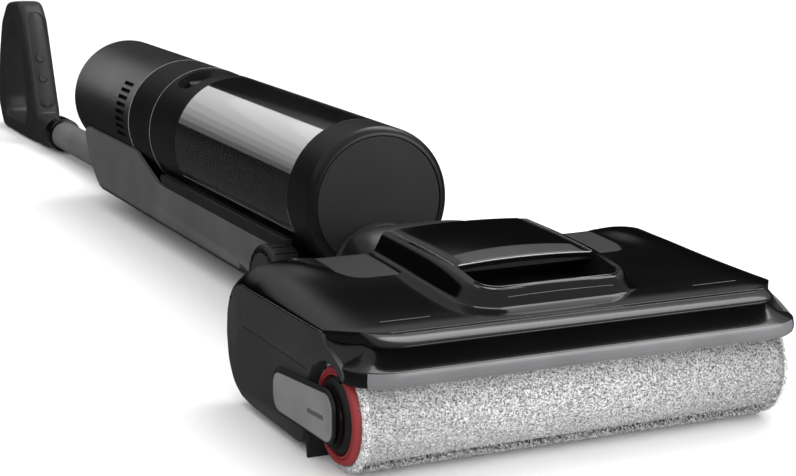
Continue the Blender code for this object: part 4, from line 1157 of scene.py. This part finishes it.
def build_arm():
    """Swivel collar and the casting that carries the two wheels."""
    start, end, r = SWIVEL_Y + 0.0004, SWIVEL_Y + 0.0112, SWIVEL_R
    collar = [(0.0, start), (r - 0.0010, start), (r, start + 0.0010), (r, end - 0.0020), (r - 0.0018, end),
              (0.0, end)]
    round_part = turned("collar", collar, "Y", (0.0, SWIVEL_Z), 96)
    rings = []
    beam_start, beam_end = 0.2410, 0.3236
    for y in spread(beam_start, beam_end, 14):
        t = smooth((y - beam_start) / 0.0200)
        wide, low, high = mix(0.0330, 0.0405, t), mix(0.0090, 0.0100, t), mix(0.0370, 0.0392, t)
        corners = [(-wide, low), (wide, low), (wide, high), (-wide, high)]
        rings.append([(x, y, z) for x, z in fillet(corners, 0.006, 6)])
    beam = skin("beam", rings)
    half, low, high = 0.037, 0.0238, 0.0358
    outline = fillet([(-half, low), (half, low), (half, high), (-half, high)], 0.002, 3)
    tongue = prism("tongue", outline, "Y", (beam_end - 0.0016, 0.348))
    piece(joined("arm_casting", round_part, beam, tongue), "deck", "body", ["arm_block"])


def build_wheels():
    """Lie-flat wheels: grey hub disc, a ring of dark notches and a ribbed tread."""
    axis = (WHEEL_Y, WHEEL_Z)
    back, face = WHEEL_X
    r = WHEEL_R
    notches, grooves = 22, 24
    for side, sign in SIDES:
        profile = [(0.0044, back), (r - 0.0030, back), (r - 0.0012, back + 0.0006), (r, back + 0.0030),
                   (r, face - 0.0040), (r - 0.0006, face - 0.0020), (r - 0.0020, face - 0.0006),
                   (r - 0.0034, face - 0.0004), (r - 0.0036, face - 0.0010), (r - 0.0054, face - 0.0010),
                   (r - 0.0056, face - 0.0002), (0.0080, face), (0.0060, face - 0.0010),
                   (0.0044, face - 0.0010)]
        wheel = turned("wheel", [(a, sign * b) for a, b in profile], "X", axis, 128)
        ends = (sign * (face - 0.0060), sign * (face + 0.0010))
        face_cuts = [spoke(2 * math.pi * (k + 0.5) / notches, r - 0.0068, r - 0.0026, 0.0040, ends, axis)
                     for k in range(notches)]
        ends = (sign * (back - 0.0010), sign * (face - 0.0042))
        tread_cuts = [spoke(2 * math.pi * k / grooves, r - 0.0011, r + 0.0010, 0.0011, ends, axis)
                      for k in range(grooves)]
        cut(wheel, joined("teeth", *face_cuts), joined("treads", *tread_cuts))
        piece(wheel, "patch", "wheel_" + side, ["wheel_" + side])
        hub = [(0.0, face - 0.0012), (0.0062, face - 0.0012), (0.0062, face + 0.0001),
               (0.0226, face + 0.0001), (0.0230, face - 0.0002), (0.0230, face - 0.0016),
               (0.0, face - 0.0016)]
        disc = turned("wheel_disc_" + side, [(a, sign * b) for a, b in hub], "X", axis, 96)
        piece(disc, "deck", "wheel_" + side)


def spoke(angle, inner, outer, width, ends, centre):
    """A small radial block beside the X axis through centre."""
    c, s = math.cos(angle), math.sin(angle)
    ring = []
    for radius, side in ((inner, -1), (outer, -1), (outer, 1), (inner, 1)):
        offset = side * width / 2
        ring.append((centre[0] + radius * c - offset * s, centre[1] + radius * s + offset * c))
    return prism("spoke", ring, "X", sorted(ends))


# ---- spine --------------------------------------------------------------------------------------
def build_spine():
    """Channel under the tank with its raised wings, the socket of the tube, and the edges and rails."""
    half = reach("spine_frame", "x")[1]
    wall = 0.0032
    wing_top = reach("spine_frame", "z")[1]
    low, floor_top, rail = 0.0205, 0.0232, 0.0525      # heights of the channel's floor and of its rails
    front = arc((WHEEL_Y, WHEEL_Z), WHEEL_R + 0.0015, -14, 50, 16)
    back = fillet([(0.571, rail), (0.629, wing_top), (0.772, wing_top), (0.783, 0.0640), (0.764, 0.0380),
                   (0.746, 0.0245), (0.730, low), (0.340, low)],
                  [0.012, 0.012, 0.010, 0.010, 0.02, 0.02, 0.02, 0.003], 6)
    walls = []
    for _, sign in SIDES:
        ends = sorted((sign * (half - wall), sign * half))
        walls.append(rounded(prism("wall", front + back, "X", ends), 0.0009, 3))
    between = (-half + wall - 0.0005, half - wall + 0.0005)
    channel = prism("floor", [(0.332, low + 0.0001), (0.742, low + 0.0001), (0.742, floor_top),
                              (0.332, floor_top)], "X", between)
    closing = prism("end", [(0.735, low + 0.002), (0.739, low + 0.003), (0.764, 0.0395), (0.7815, 0.0645),
                            (0.7780, 0.0645), (0.7600, 0.0395)], "X", between)
    bore = TUBE_R + GAP
    socket = turned("socket", [(bore, 0.695), (0.0165, 0.6885), (0.0180, 0.690), (0.0180, 0.7880),
                               (0.0172, 0.790), (bore, 0.790)], "Y", (0.0, TUBE_Z), 64)
    spine = joined("spine_body", *walls, channel, closing, socket)
    piece(spine, "spine", "body", ["spine_frame"])
    for side, sign in SIDES:
        ends = sorted((sign * (half - 0.0016), sign * (half + 0.0001)))
        edge = [(0.344, low - 0.0001), (0.730, low - 0.0001), (0.742, low + 0.0022), (0.729, low + 0.0016),
                (0.345, low + 0.0016)]
        piece(prism("spine_edge_" + side, edge, "X", ends), "satin", "body")
    bottom, top, start = rail + 0.0004, rail + 0.0087, 0.2915
    outline = fillet([(start, bottom), (0.5550, bottom), (0.5640, 0.0570), (0.5600, top), (start, top)],
                     [0.001, 0.003, 0.002, 0.002, 0.001], 4)
    for side, sign in SIDES:
        ends = sorted((sign * 0.0442, sign * half))
        strip = rounded(prism("cradle_rail_" + side, outline, "X", ends), 0.0006, 3)
        piece(strip, "satin", "body", ["cradle_strip_" + side])


# ---- tank ---------------------------------------------------------------------------------------
def build_tank_base():
    """Rounded base of the tank with a matte disc let into its end."""
    edge = 0.0055
    y0, y1 = TANK_FRONT, WINDOW[0] - GAP
    corner = arc((y0 + edge, BODY_R - edge), edge, 180, 90, 12)
    profile = [(0.0, y0 + 0.0014), (BODY_R - edge - 0.0003, y0 + 0.0014),
               (BODY_R - edge - 0.0002, y0 + 0.0002)]
    profile += [(r, y) for y, r in corner]
    profile += [(BODY_R, y1), (INNER_R, y1), (INNER_R, y0 + 0.0045), (0.0, y0 + 0.0045)]
    base = turned("tank_base", profile, "Y", AXIS, ROUND_STEPS)
    piece(base, "base", "tank", ["tank_base_cap"])
    disc_r = BODY_R - edge - 0.0006
    disc = [(0.0, y0 + 0.0002), (disc_r - 0.0010, y0), (disc_r - 0.0004, y0 + 0.0002),
            (disc_r, y0 + 0.0008), (disc_r, y0 + 0.0016), (0.0, y0 + 0.0016)]
    piece(turned("tank_disc", disc, "Y", AXIS, ROUND_STEPS), "matte", "tank")


def build_window():
    """Smoked window shell, with a fine line where its clear part ends on each side."""
    start, end = WINDOW
    window = ring_band("window_shell", BODY_R, INNER_R, (start + 0.0002, end), "Y", AXIS, 0.0003,
                       ROUND_STEPS)
    piece(window, "window", "tank", ["tank_window"])
    line_angle = 118                            # degrees from the top
    corner = [(start + 0.0015, a) for a in spread(98, 113, 8)] + [(start + 0.0022, 115.5),
                                                                  (start + 0.0040, 117.2)]
    straight = [(y, line_angle) for y in spread(start + 0.0065, end - 0.0015, 30)]
    for side, sign in SIDES:
        path = []
        for y, degrees in corner + straight:
            x, z = round_body(sign * math.radians(degrees), BODY_R - 0.00005)
            path.append((Vector((x, y, z)), 0.00022))
        piece(tube_along("window_edge_" + side, path, 6), "print", "tank")


def build_lid():
    """Lid of the tank, with the grip slot in its top and the latch in the slot."""
    start, end = WINDOW[1] + GAP, LID[1]
    step_y, neck_r = 0.5335, 0.0120             # rear face of the lid's rim, and its neck's radius
    profile = [(INNER_R, start), (BODY_R - 0.0003, start), (BODY_R, start + 0.0004), (BODY_R, end - 0.0005),
               (BODY_R - 0.0005, end), (neck_r, end), (neck_r, step_y), (INNER_R, step_y)]
    lid = turned("lid_shell", profile, "Y", AXIS, ROUND_STEPS)
    centre, half_s, half_y = (0.0, 0.5600), 0.0340, 0.0190
    cut(lid, wrapped("slot", pill(centre, half_s, half_y, 0.0125, 0.0, 12), 0.0340, 0.0600))
    piece(rounded(lid, 0.0004, 2, 50), "base", "tank", ["tank_lid"])
    slot_floor = wrapped("grip_slot_floor", pill(centre, half_s - 0.0004, half_y - 0.0004, 0.0120),
                         0.0322, 0.0335)
    piece(slot_floor, "void", "tank")
    latch_y = sum(reach("tank_latch", "y")) / 2 + 0.0030
    latch = wrapped("latch_slider", pill((0.0, latch_y), 0.0225, 0.0070, 0.0045), 0.0340, 0.0448)
    piece(rounded(latch, 0.0012, 3), "slider", "latch", ["tank_latch"])


def build_band():
    """Filter band, silver ring and the seam beads between the body's sections."""
    start, end = BAND
    hole_r, wall = 0.0130, 0.0030
    profile = [(hole_r, start + wall), (hole_r, start), (BODY_R - 0.0005, start), (BODY_R, start + 0.0005),
               (BODY_R, end - 0.0004), (BODY_R - 0.0004, end), (INNER_R, end), (INNER_R, start + wall)]
    sleeve = turned("filter_sleeve", profile, "Y", AXIS, ROUND_STEPS)
    piece(sleeve, "housing", "body", ["filter_band"])
    ends = (TRIM[0] + 0.0001, TRIM[0] + 0.0009)
    trim = ring_band("trim_line", BODY_R + 0.0001, INNER_R, ends, "Y", AXIS, 0.0001, ROUND_STEPS)
    piece(trim, "seam", "body", ["trim_ring"])
    bead = [(BODY_R + r, start - GAP / 2 + y) for y, r in arc((0.0, -0.0001), 0.00022, 0, 330, 11)]
    piece(turned("lid_seam", bead, "Y", AXIS, ROUND_STEPS), "seam", "body")


def build_housing():
    """Motor housing with a rounded end and a field of vents on each side."""
    edge, wall = 0.0028, 0.0030
    start, end = TRIM[0] + 0.0011, HOUSING[1]
    far = arc((end - edge, BODY_R - edge), edge, 0, 90, 10)
    profile = [(0.0, end), *[(r, y) for y, r in far], (BODY_R, start + 0.0004), (BODY_R - 0.0004, start),
               (INNER_R, start), (INNER_R, end - wall), (0.0, end - wall)]
    shell = turned("housing_shell", profile, "Y", AXIS, ROUND_STEPS)
    vents, first, pitch, vent_y = 8, 54, 7.1, 0.6700        # first and pitch are degrees from the top
    slots = []
    for sign in (-1, 1):
        for row in range(vents):
            s = math.radians(first + pitch * row) * BODY_R
            outline = pill((s, vent_y), 0.0017, 0.0120, 0.0008, 0.0, 4)
            slots.append(wrapped("vent", outline, BODY_R - 0.0050, BODY_R + 0.0020, sign))
    cut(shell, joined("vents", *slots))
    piece(shell, "housing", "body", ["motor_housing"])
    near, far, outer, inner = 0.652, 0.690, INNER_R - 0.0004, INNER_R - 0.0014
    backing = turned("vent_backing", [(outer, near), (outer, far), (inner, far), (inner, near)], "Y", AXIS)
    piece(backing, "void", "body")


def build_display():
    """Round display glass in the housing's rear face, with a silver ring on it."""
    back, face = LENS
    r = 0.0330
    lens = [(0.0, back), (0.0, face - 0.0002), (r - 0.0020, face - 0.0004), (r - 0.0004, face - 0.0009),
            (r, back)]
    piece(turned("display_glass", lens, "Y", AXIS, 128), "gloss", "body", ["display_lens"])
    r -= 0.0072
    ring = [(r - 0.0008, face - 0.0004), (r, face - 0.0001), (r + 0.0008, face - 0.0004),
            (r, face - 0.0006)]
    piece(turned("display_ring", ring, "Y", AXIS, 128), "silver", "body")


# ---- handle -------------------------------------------------------------------------------------
# the flat face of the loop's front bar, as (y, z), and the middle of the finger hole
FACE_FOOT, FACE_HEAD = (1.113, 0.049), (1.139, 0.110)
BAR_LENGTH = math.dist(FACE_FOOT, FACE_HEAD)
HOLE_CENTRE = (1.195, 0.070)
BUTTONS = (("power_button", 0.011), ("clean_button", -0.011))     # node, and place from the bar's middle


def loop_outer():
    """Outer outline of the loop's ring, in y and z."""
    points = [(1.112, 0.0), (1.256, 0.0), (LOOP_REAR, 0.024), (LOOP_REAR, 0.036), (1.264, 0.083),
              (1.245, 0.122), (1.217, LOOP_TOP - 0.004), (1.166, LOOP_TOP), (1.148, 0.131), FACE_HEAD,
              FACE_FOOT, (1.104, 0.030)]
    radii = [0.016, 0.014, 0.014, 0.014, 0.03, 0.02, 0.018, 0.018, 0.018, 0.03, 0.02, 0.010]
    return fillet(points, radii, 8)


def loop_inner():
    """Outline of the finger hole, in y and z."""
    points = [(1.156, 0.0165), (1.2430, 0.0165), (1.2450, 0.035), (1.234, 0.083), (1.2225, 0.112),
              (1.212, 0.1250), (1.185, 0.1250), (1.172, 0.112), (1.149, 0.050)]
    return fillet(points, 0.009, 8)


def crossing(outline, angle):
    """Distance from the hole's centre to an outline, along an angle."""
    c, s = math.cos(angle), math.sin(angle)
    far = 0.0
    for (y0, z0), (y1, z1) in zip(outline, outline[1:] + outline[:1]):
        y0, y1 = y0 - HOLE_CENTRE[0], y1 - HOLE_CENTRE[0]
        z0, z1 = z0 - HOLE_CENTRE[1], z1 - HOLE_CENTRE[1]
        before, after = c * z0 - s * y0, c * z1 - s * y1
        if (before <= 0) != (after <= 0):
            t = before / (before - after)
            far = max(far, c * mix(y0, y1, t) + s * mix(z0, z1, t))
    return far


def squircle(half_a, half_b, power, count):
    """Points on a rounded rectangle given as a superellipse."""
    out = []
    for k in range(count):
        c, s = math.cos(2 * math.pi * k / count), math.sin(2 * math.pi * k / count)
        out.append((half_a * math.copysign(abs(c) ** (2 / power), c),
                    half_b * math.copysign(abs(s) ** (2 / power), s)))
    return out


def loop_mesh():
    """Ring of rounded section, blended with the foot that holds the tube."""
    outer, inner = loop_outer(), loop_inner()
    rings = []
    sections = 140
    for k in range(sections):
        a = 2 * math.pi * k / sections
        near, far = crossing(inner, a), crossing(outer, a)
        middle, half = (near + far) / 2, (far - near) / 2
        y, z = HOLE_CENTRE
        rings.append([(x, y + (middle + d) * math.cos(a), z + (middle + d) * math.sin(a))
                      for d, x in squircle(half, LOOP_HALF, 4.0, 40)])
    ring = skin("ring", rings, wrap=True)
    foot = []
    start = COLLAR[1] + GAP
    for y in spread(start, 1.150, 24):
        t = smooth((y - start) / 0.045)
        round_half = mix(COLLAR_R, LOOP_HALF, t)
        low, high = mix(TUBE_Z - COLLAR_R, 0.0002, t), mix(TUBE_Z + COLLAR_R, 0.0330, t)
        foot.append([(x, y, (low + high) / 2 + z)
                     for x, z in squircle(round_half, (high - low) / 2, mix(2.0, 3.4, t), 48)])
    whole = joined("loop_body", ring, skin("foot", foot))
    remesh = whole.modifiers.new("blend", "REMESH")
    remesh.mode = "VOXEL"
    remesh.voxel_size = 0.0011
    relax = whole.modifiers.new("relax", "SMOOTH")
    relax.factor, relax.iterations = 0.5, 7
    return applied(whole)


def face_point(along, depth):
    """A point (y, z) at a distance up the front bar's face, sunk below it by depth."""
    dy, dz = (FACE_HEAD[0] - FACE_FOOT[0]) / BAR_LENGTH, (FACE_HEAD[1] - FACE_FOOT[1]) / BAR_LENGTH
    return FACE_FOOT[0] + along * dy + depth * dz, FACE_FOOT[1] + along * dz - depth * dy


def button_ring(place, radius, depth):
    """A circle below the bar's face, round a button's place."""
    return [(x, *face_point(BAR_LENGTH / 2 + s, depth)) for x, s in arc((0.0, place), radius, 0, 350, 35)]


def button_wells(depths):
    """Round blocks that cut the buttons' wells, between two depths below the bar's face."""
    return [skin("well", [button_ring(place, 0.0051, depth) for depth in depths]) for _, place in BUTTONS]


def along_bar(name, half_width, start, end, depth, crown):
    """A pill-shaped pad up the front bar from start to end, between two depths below its face."""
    rings = []
    for t in spread(0.0, 1.0, 48):
        along = mix(start, end, (1 - math.cos(math.pi * t)) / 2)
        cap = min(along - start, end - along, half_width) / half_width
        wide = half_width * math.sqrt(max(1 - (1 - cap) ** 2, 0.0004))
        fall = 0.0022 * clamp((along - 0.055) / 0.040) ** 2 + 0.0016 * clamp((0.004 - along) / 0.016) ** 2
        face = [(u * wide, *face_point(along, depth[1] + fall + crown * u * u)) for u in spread(-1, 1, 15)]
        back = [(u * wide, *face_point(along, depth[0] + fall)) for u in spread(1, -1, 15)]
        rings.append(face + back)
    return skin(name, rings)


def build_tube():
    """Handle tube, and the glossy collar at its rear end."""
    axis = (0.0, TUBE_Z)
    tube = ring_band("tube_sleeve", TUBE_R, TUBE_BORE, TUBE, "Y", axis, 0.0005)
    piece(tube, "tube", "body", ["handle_tube"])
    start, end = COLLAR
    bore = TUBE_R + GAP
    collar = [(bore, start), (COLLAR_R - 0.0015, start), (COLLAR_R - 0.0005, start + 0.0006),
              (COLLAR_R, start + 0.0020), (COLLAR_R, end), (bore, end)]
    piece(turned("collar_ring", collar, "Y", axis), "gloss", "body", ["tube_collar"])


def build_loop():
    """Rounded handle loop with its inlay and the two buttons."""
    room = along_bar("room", 0.0098, -0.012, 0.098, (0.0016, -0.0060), 0.0)
    loop = cut(loop_mesh(), room, *button_wells((-0.006, 0.0062)))
    piece(loop, "loop", "body", ["handle_loop"], sharp=50)
    inlay = along_bar("grip_face", 0.0074, -0.0098, 0.0958, (0.0028, 0.0001), 0.0012)
    cut(inlay, *button_wells((-0.004, 0.006)))
    piece(inlay, "loop", "body", ["grip_inlay"], sharp=50)
    dished = ((0.0048, 0.0038), (0.0048, -0.0002), (0.0045, -0.0006), (0.0038, -0.0008), (0.0020, -0.0006),
              (0.0006, -0.0005))
    for name, place in BUTTONS:
        rings = [button_ring(place, radius, depth) for radius, depth in dished]
        piece(skin(name + "_cap", rings), "loop", name, [name])


# ---- CAD nodes that stay ------------------------------------------------------------------------
STAYING = {
    "satin": ("head_chassis", "belt_cover", "squeegee_carrier", "roller_pulley"),
    "steel": ("brush_motor", "motor_pulley", "tilt_pin_left", "tilt_pin_right", "wheel_axle",
              "suction_motor"),
    "rubber": ("drive_belt", "squeegee_blade", "caster_left", "caster_right"),
    "inner": ("spray_bar", "dirt_duct", "water_pump", "roller_core", "swivel_sleeve", "tank_divider",
              "tank_filter"),
    "tube_clear": ("riser_tube",),
    "cell": ("battery_pack",),
}


def refinish_staying():
    """Give the CAD nodes that stay their materials."""
    for material, nodes in STAYING.items():
        for node in nodes:
            refinish(node, material)


# ---- studio -------------------------------------------------------------------------------------
# grey of the room that the machine reflects, by height from straight down (-1) to straight up (1)
ROOM_LIGHT = [(-1.0, 0.08), (-0.05, 0.04), (0.08, 0.003), (0.33, 0.003), (0.42, 0.28), (0.55, 0.36),
              (1.0, 0.40)]


def build_floor():
    """Plain floor that reaches far past the picture."""
    half = 14.0
    corners = [(-half, -half, 0), (half, -half, 0), (half, half, 0), (-half, half, 0)]
    floor = raw("floor", corners, [(0, 1, 2, 3)])
    floor.data.materials.append(paper_floor())
    floor.visible_glossy = False


def build_room():
    """Dim room with a gradient in height for the reflections, in front of a white backdrop."""
    world = bpy.data.worlds.new("studio")
    SCENE.world = world
    world.use_nodes = True
    tree = world.node_tree
    room = tree.nodes["Background"]
    coords = tree.nodes.new("ShaderNodeTexCoord")
    split = tree.nodes.new("ShaderNodeSeparateXYZ")
    heights = tree.nodes.new("ShaderNodeValToRGB")
    while len(heights.color_ramp.elements) < len(ROOM_LIGHT):
        heights.color_ramp.elements.new(0.5)
    for element, (height, grey) in zip(heights.color_ramp.elements, ROOM_LIGHT):
        element.position, element.color = (height + 1) / 2, (grey, grey, grey, 1.0)
    shift = tree.nodes.new("ShaderNodeMapRange")
    shift.inputs["From Min"].default_value = -1.0
    tree.links.new(coords.outputs["Generated"], split.inputs["Vector"])
    tree.links.new(split.outputs["Z"], shift.inputs["Value"])
    tree.links.new(shift.outputs["Result"], heights.inputs["Fac"])
    tree.links.new(heights.outputs["Color"], room.inputs["Color"])
    backdrop = tree.nodes.new("ShaderNodeBackground")
    backdrop.inputs["Color"].default_value = (1.0, 1.0, 1.0, 1.0)
    rays = tree.nodes.new("ShaderNodeLightPath")
    either = tree.nodes.new("ShaderNodeMixShader")
    tree.links.new(rays.outputs["Is Camera Ray"], either.inputs["Fac"])
    tree.links.new(room.outputs["Background"], either.inputs[1])
    tree.links.new(backdrop.outputs["Background"], either.inputs[2])
    tree.links.new(either.outputs["Shader"], tree.nodes["World Output"].inputs["Surface"])


def build_lights():
    """Wide soft light overhead and from the front, and softboxes for the gloss."""
    sunlight("overhead", (0.0, 0.0, 1.0), 1.7, 130)
    sunlight("front_fill", (-0.40, -1.0, 0.50), 1.5, 80)
    softbox("top", (0.85, 0.50, 1.60), (0.10, 0.0, 0.08), (1.8, 0.9), 17.0)
    softbox("front", (1.10, -1.55, 0.50), (0.05, 0.0, 0.07), (1.5, 0.8), 13.0)
    only_on(softbox("low", (0.10, -0.80, 0.03), (0.10, 0.0, 0.02), (1.3, 0.05), 1.9), ("roller",))
    # the window reflects a tall light behind the machine, which grows brighter upwards
    bands = 8
    low, high, behind, x, width = 0.38, 1.75, 3.3, -0.675, 1.85
    step = (high - low) / bands
    for k in range(bands):
        z = low + (k + 0.5) * step
        glow = softbox("window_band_%d" % k, (x, behind, z), (x, 0.0, z), (width, step), 0.35 + 0.34 * k)
        only_on(glow, ("window",))
    only_on(softbox("housing_light", (-0.95, behind, 1.0), (-0.4, 0.0, 0.5), (1.7, 1.5), 9.0), ("housing",))


def only_on(light, prefixes):
    """Let a light fall only on the pieces whose names start with one of the prefixes."""
    group = bpy.data.collections.new(light.name + "_receivers")
    for thing in SCENE.objects:
        if thing.name.split("_")[0] in prefixes:
            group.objects.link(thing)
    light.light_linking.receiver_collection = group


def sunlight(name, direction, strength, spread_angle):
    """Soft light from all over a wide part of the sky, without a reflection."""
    lamp = bpy.data.lights.new(name, "SUN")
    lamp.energy, lamp.angle = strength, math.radians(spread_angle)
    sky = bpy.data.objects.new(name, lamp)
    SCENE.collection.objects.link(sky)
    sky.rotation_euler = Vector(direction).to_track_quat("Z", "Y").to_euler()
    sky.visible_glossy = False


def softbox(name, place, aim, size, power):
    """Soft rectangular light at a place, turned towards another one, that the camera doesn't see."""
    lamp = bpy.data.lights.new(name, "AREA")
    lamp.shape = "RECTANGLE"
    lamp.size, lamp.size_y = size
    lamp.energy = power
    thing = bpy.data.objects.new(name, lamp)
    SCENE.collection.objects.link(thing)
    place = Vector(place) + Vector((0.0, AXIS_Y, 0.0))
    aim = Vector(aim) + Vector((0.0, AXIS_Y, 0.0))
    thing.location = place
    thing.rotation_euler = (aim - place).to_track_quat("-Z", "Y").to_euler()
    thing.visible_camera = False
    return thing


def build_camera():
    """Low camera in front of the left end of the roller, with a long lens."""
    down, turned_right = 12.2331, 24.7657
    data = bpy.data.cameras.new("camera")
    data.sensor_width = 36.0
    data.lens = 86.58
    data.clip_start, data.clip_end = 0.05, 60.0
    camera = bpy.data.objects.new("camera", data)
    SCENE.collection.objects.link(camera)
    camera.location = (-0.5089, -0.8870 + AXIS_Y, 0.3359)
    camera.rotation_euler = (math.radians(90.0 - down), 0.0, math.radians(-turned_right))
    SCENE.camera = camera


build_camera()
build_cover_top()
build_pocket()
build_grip()
build_lip()
build_visor()
build_side_plates()
build_side_panels()
build_drive_covers()
build_rear_shells()
build_hinge_covers()
build_sleeve()
build_roller_end()
build_lever()
build_neck()
build_arm()
build_wheels()
build_spine()
build_tank_base()
build_window()
build_lid()
build_band()
build_housing()
build_display()
build_tube()
build_loop()
refinish_staying()
build_floor()
build_room()
build_lights()
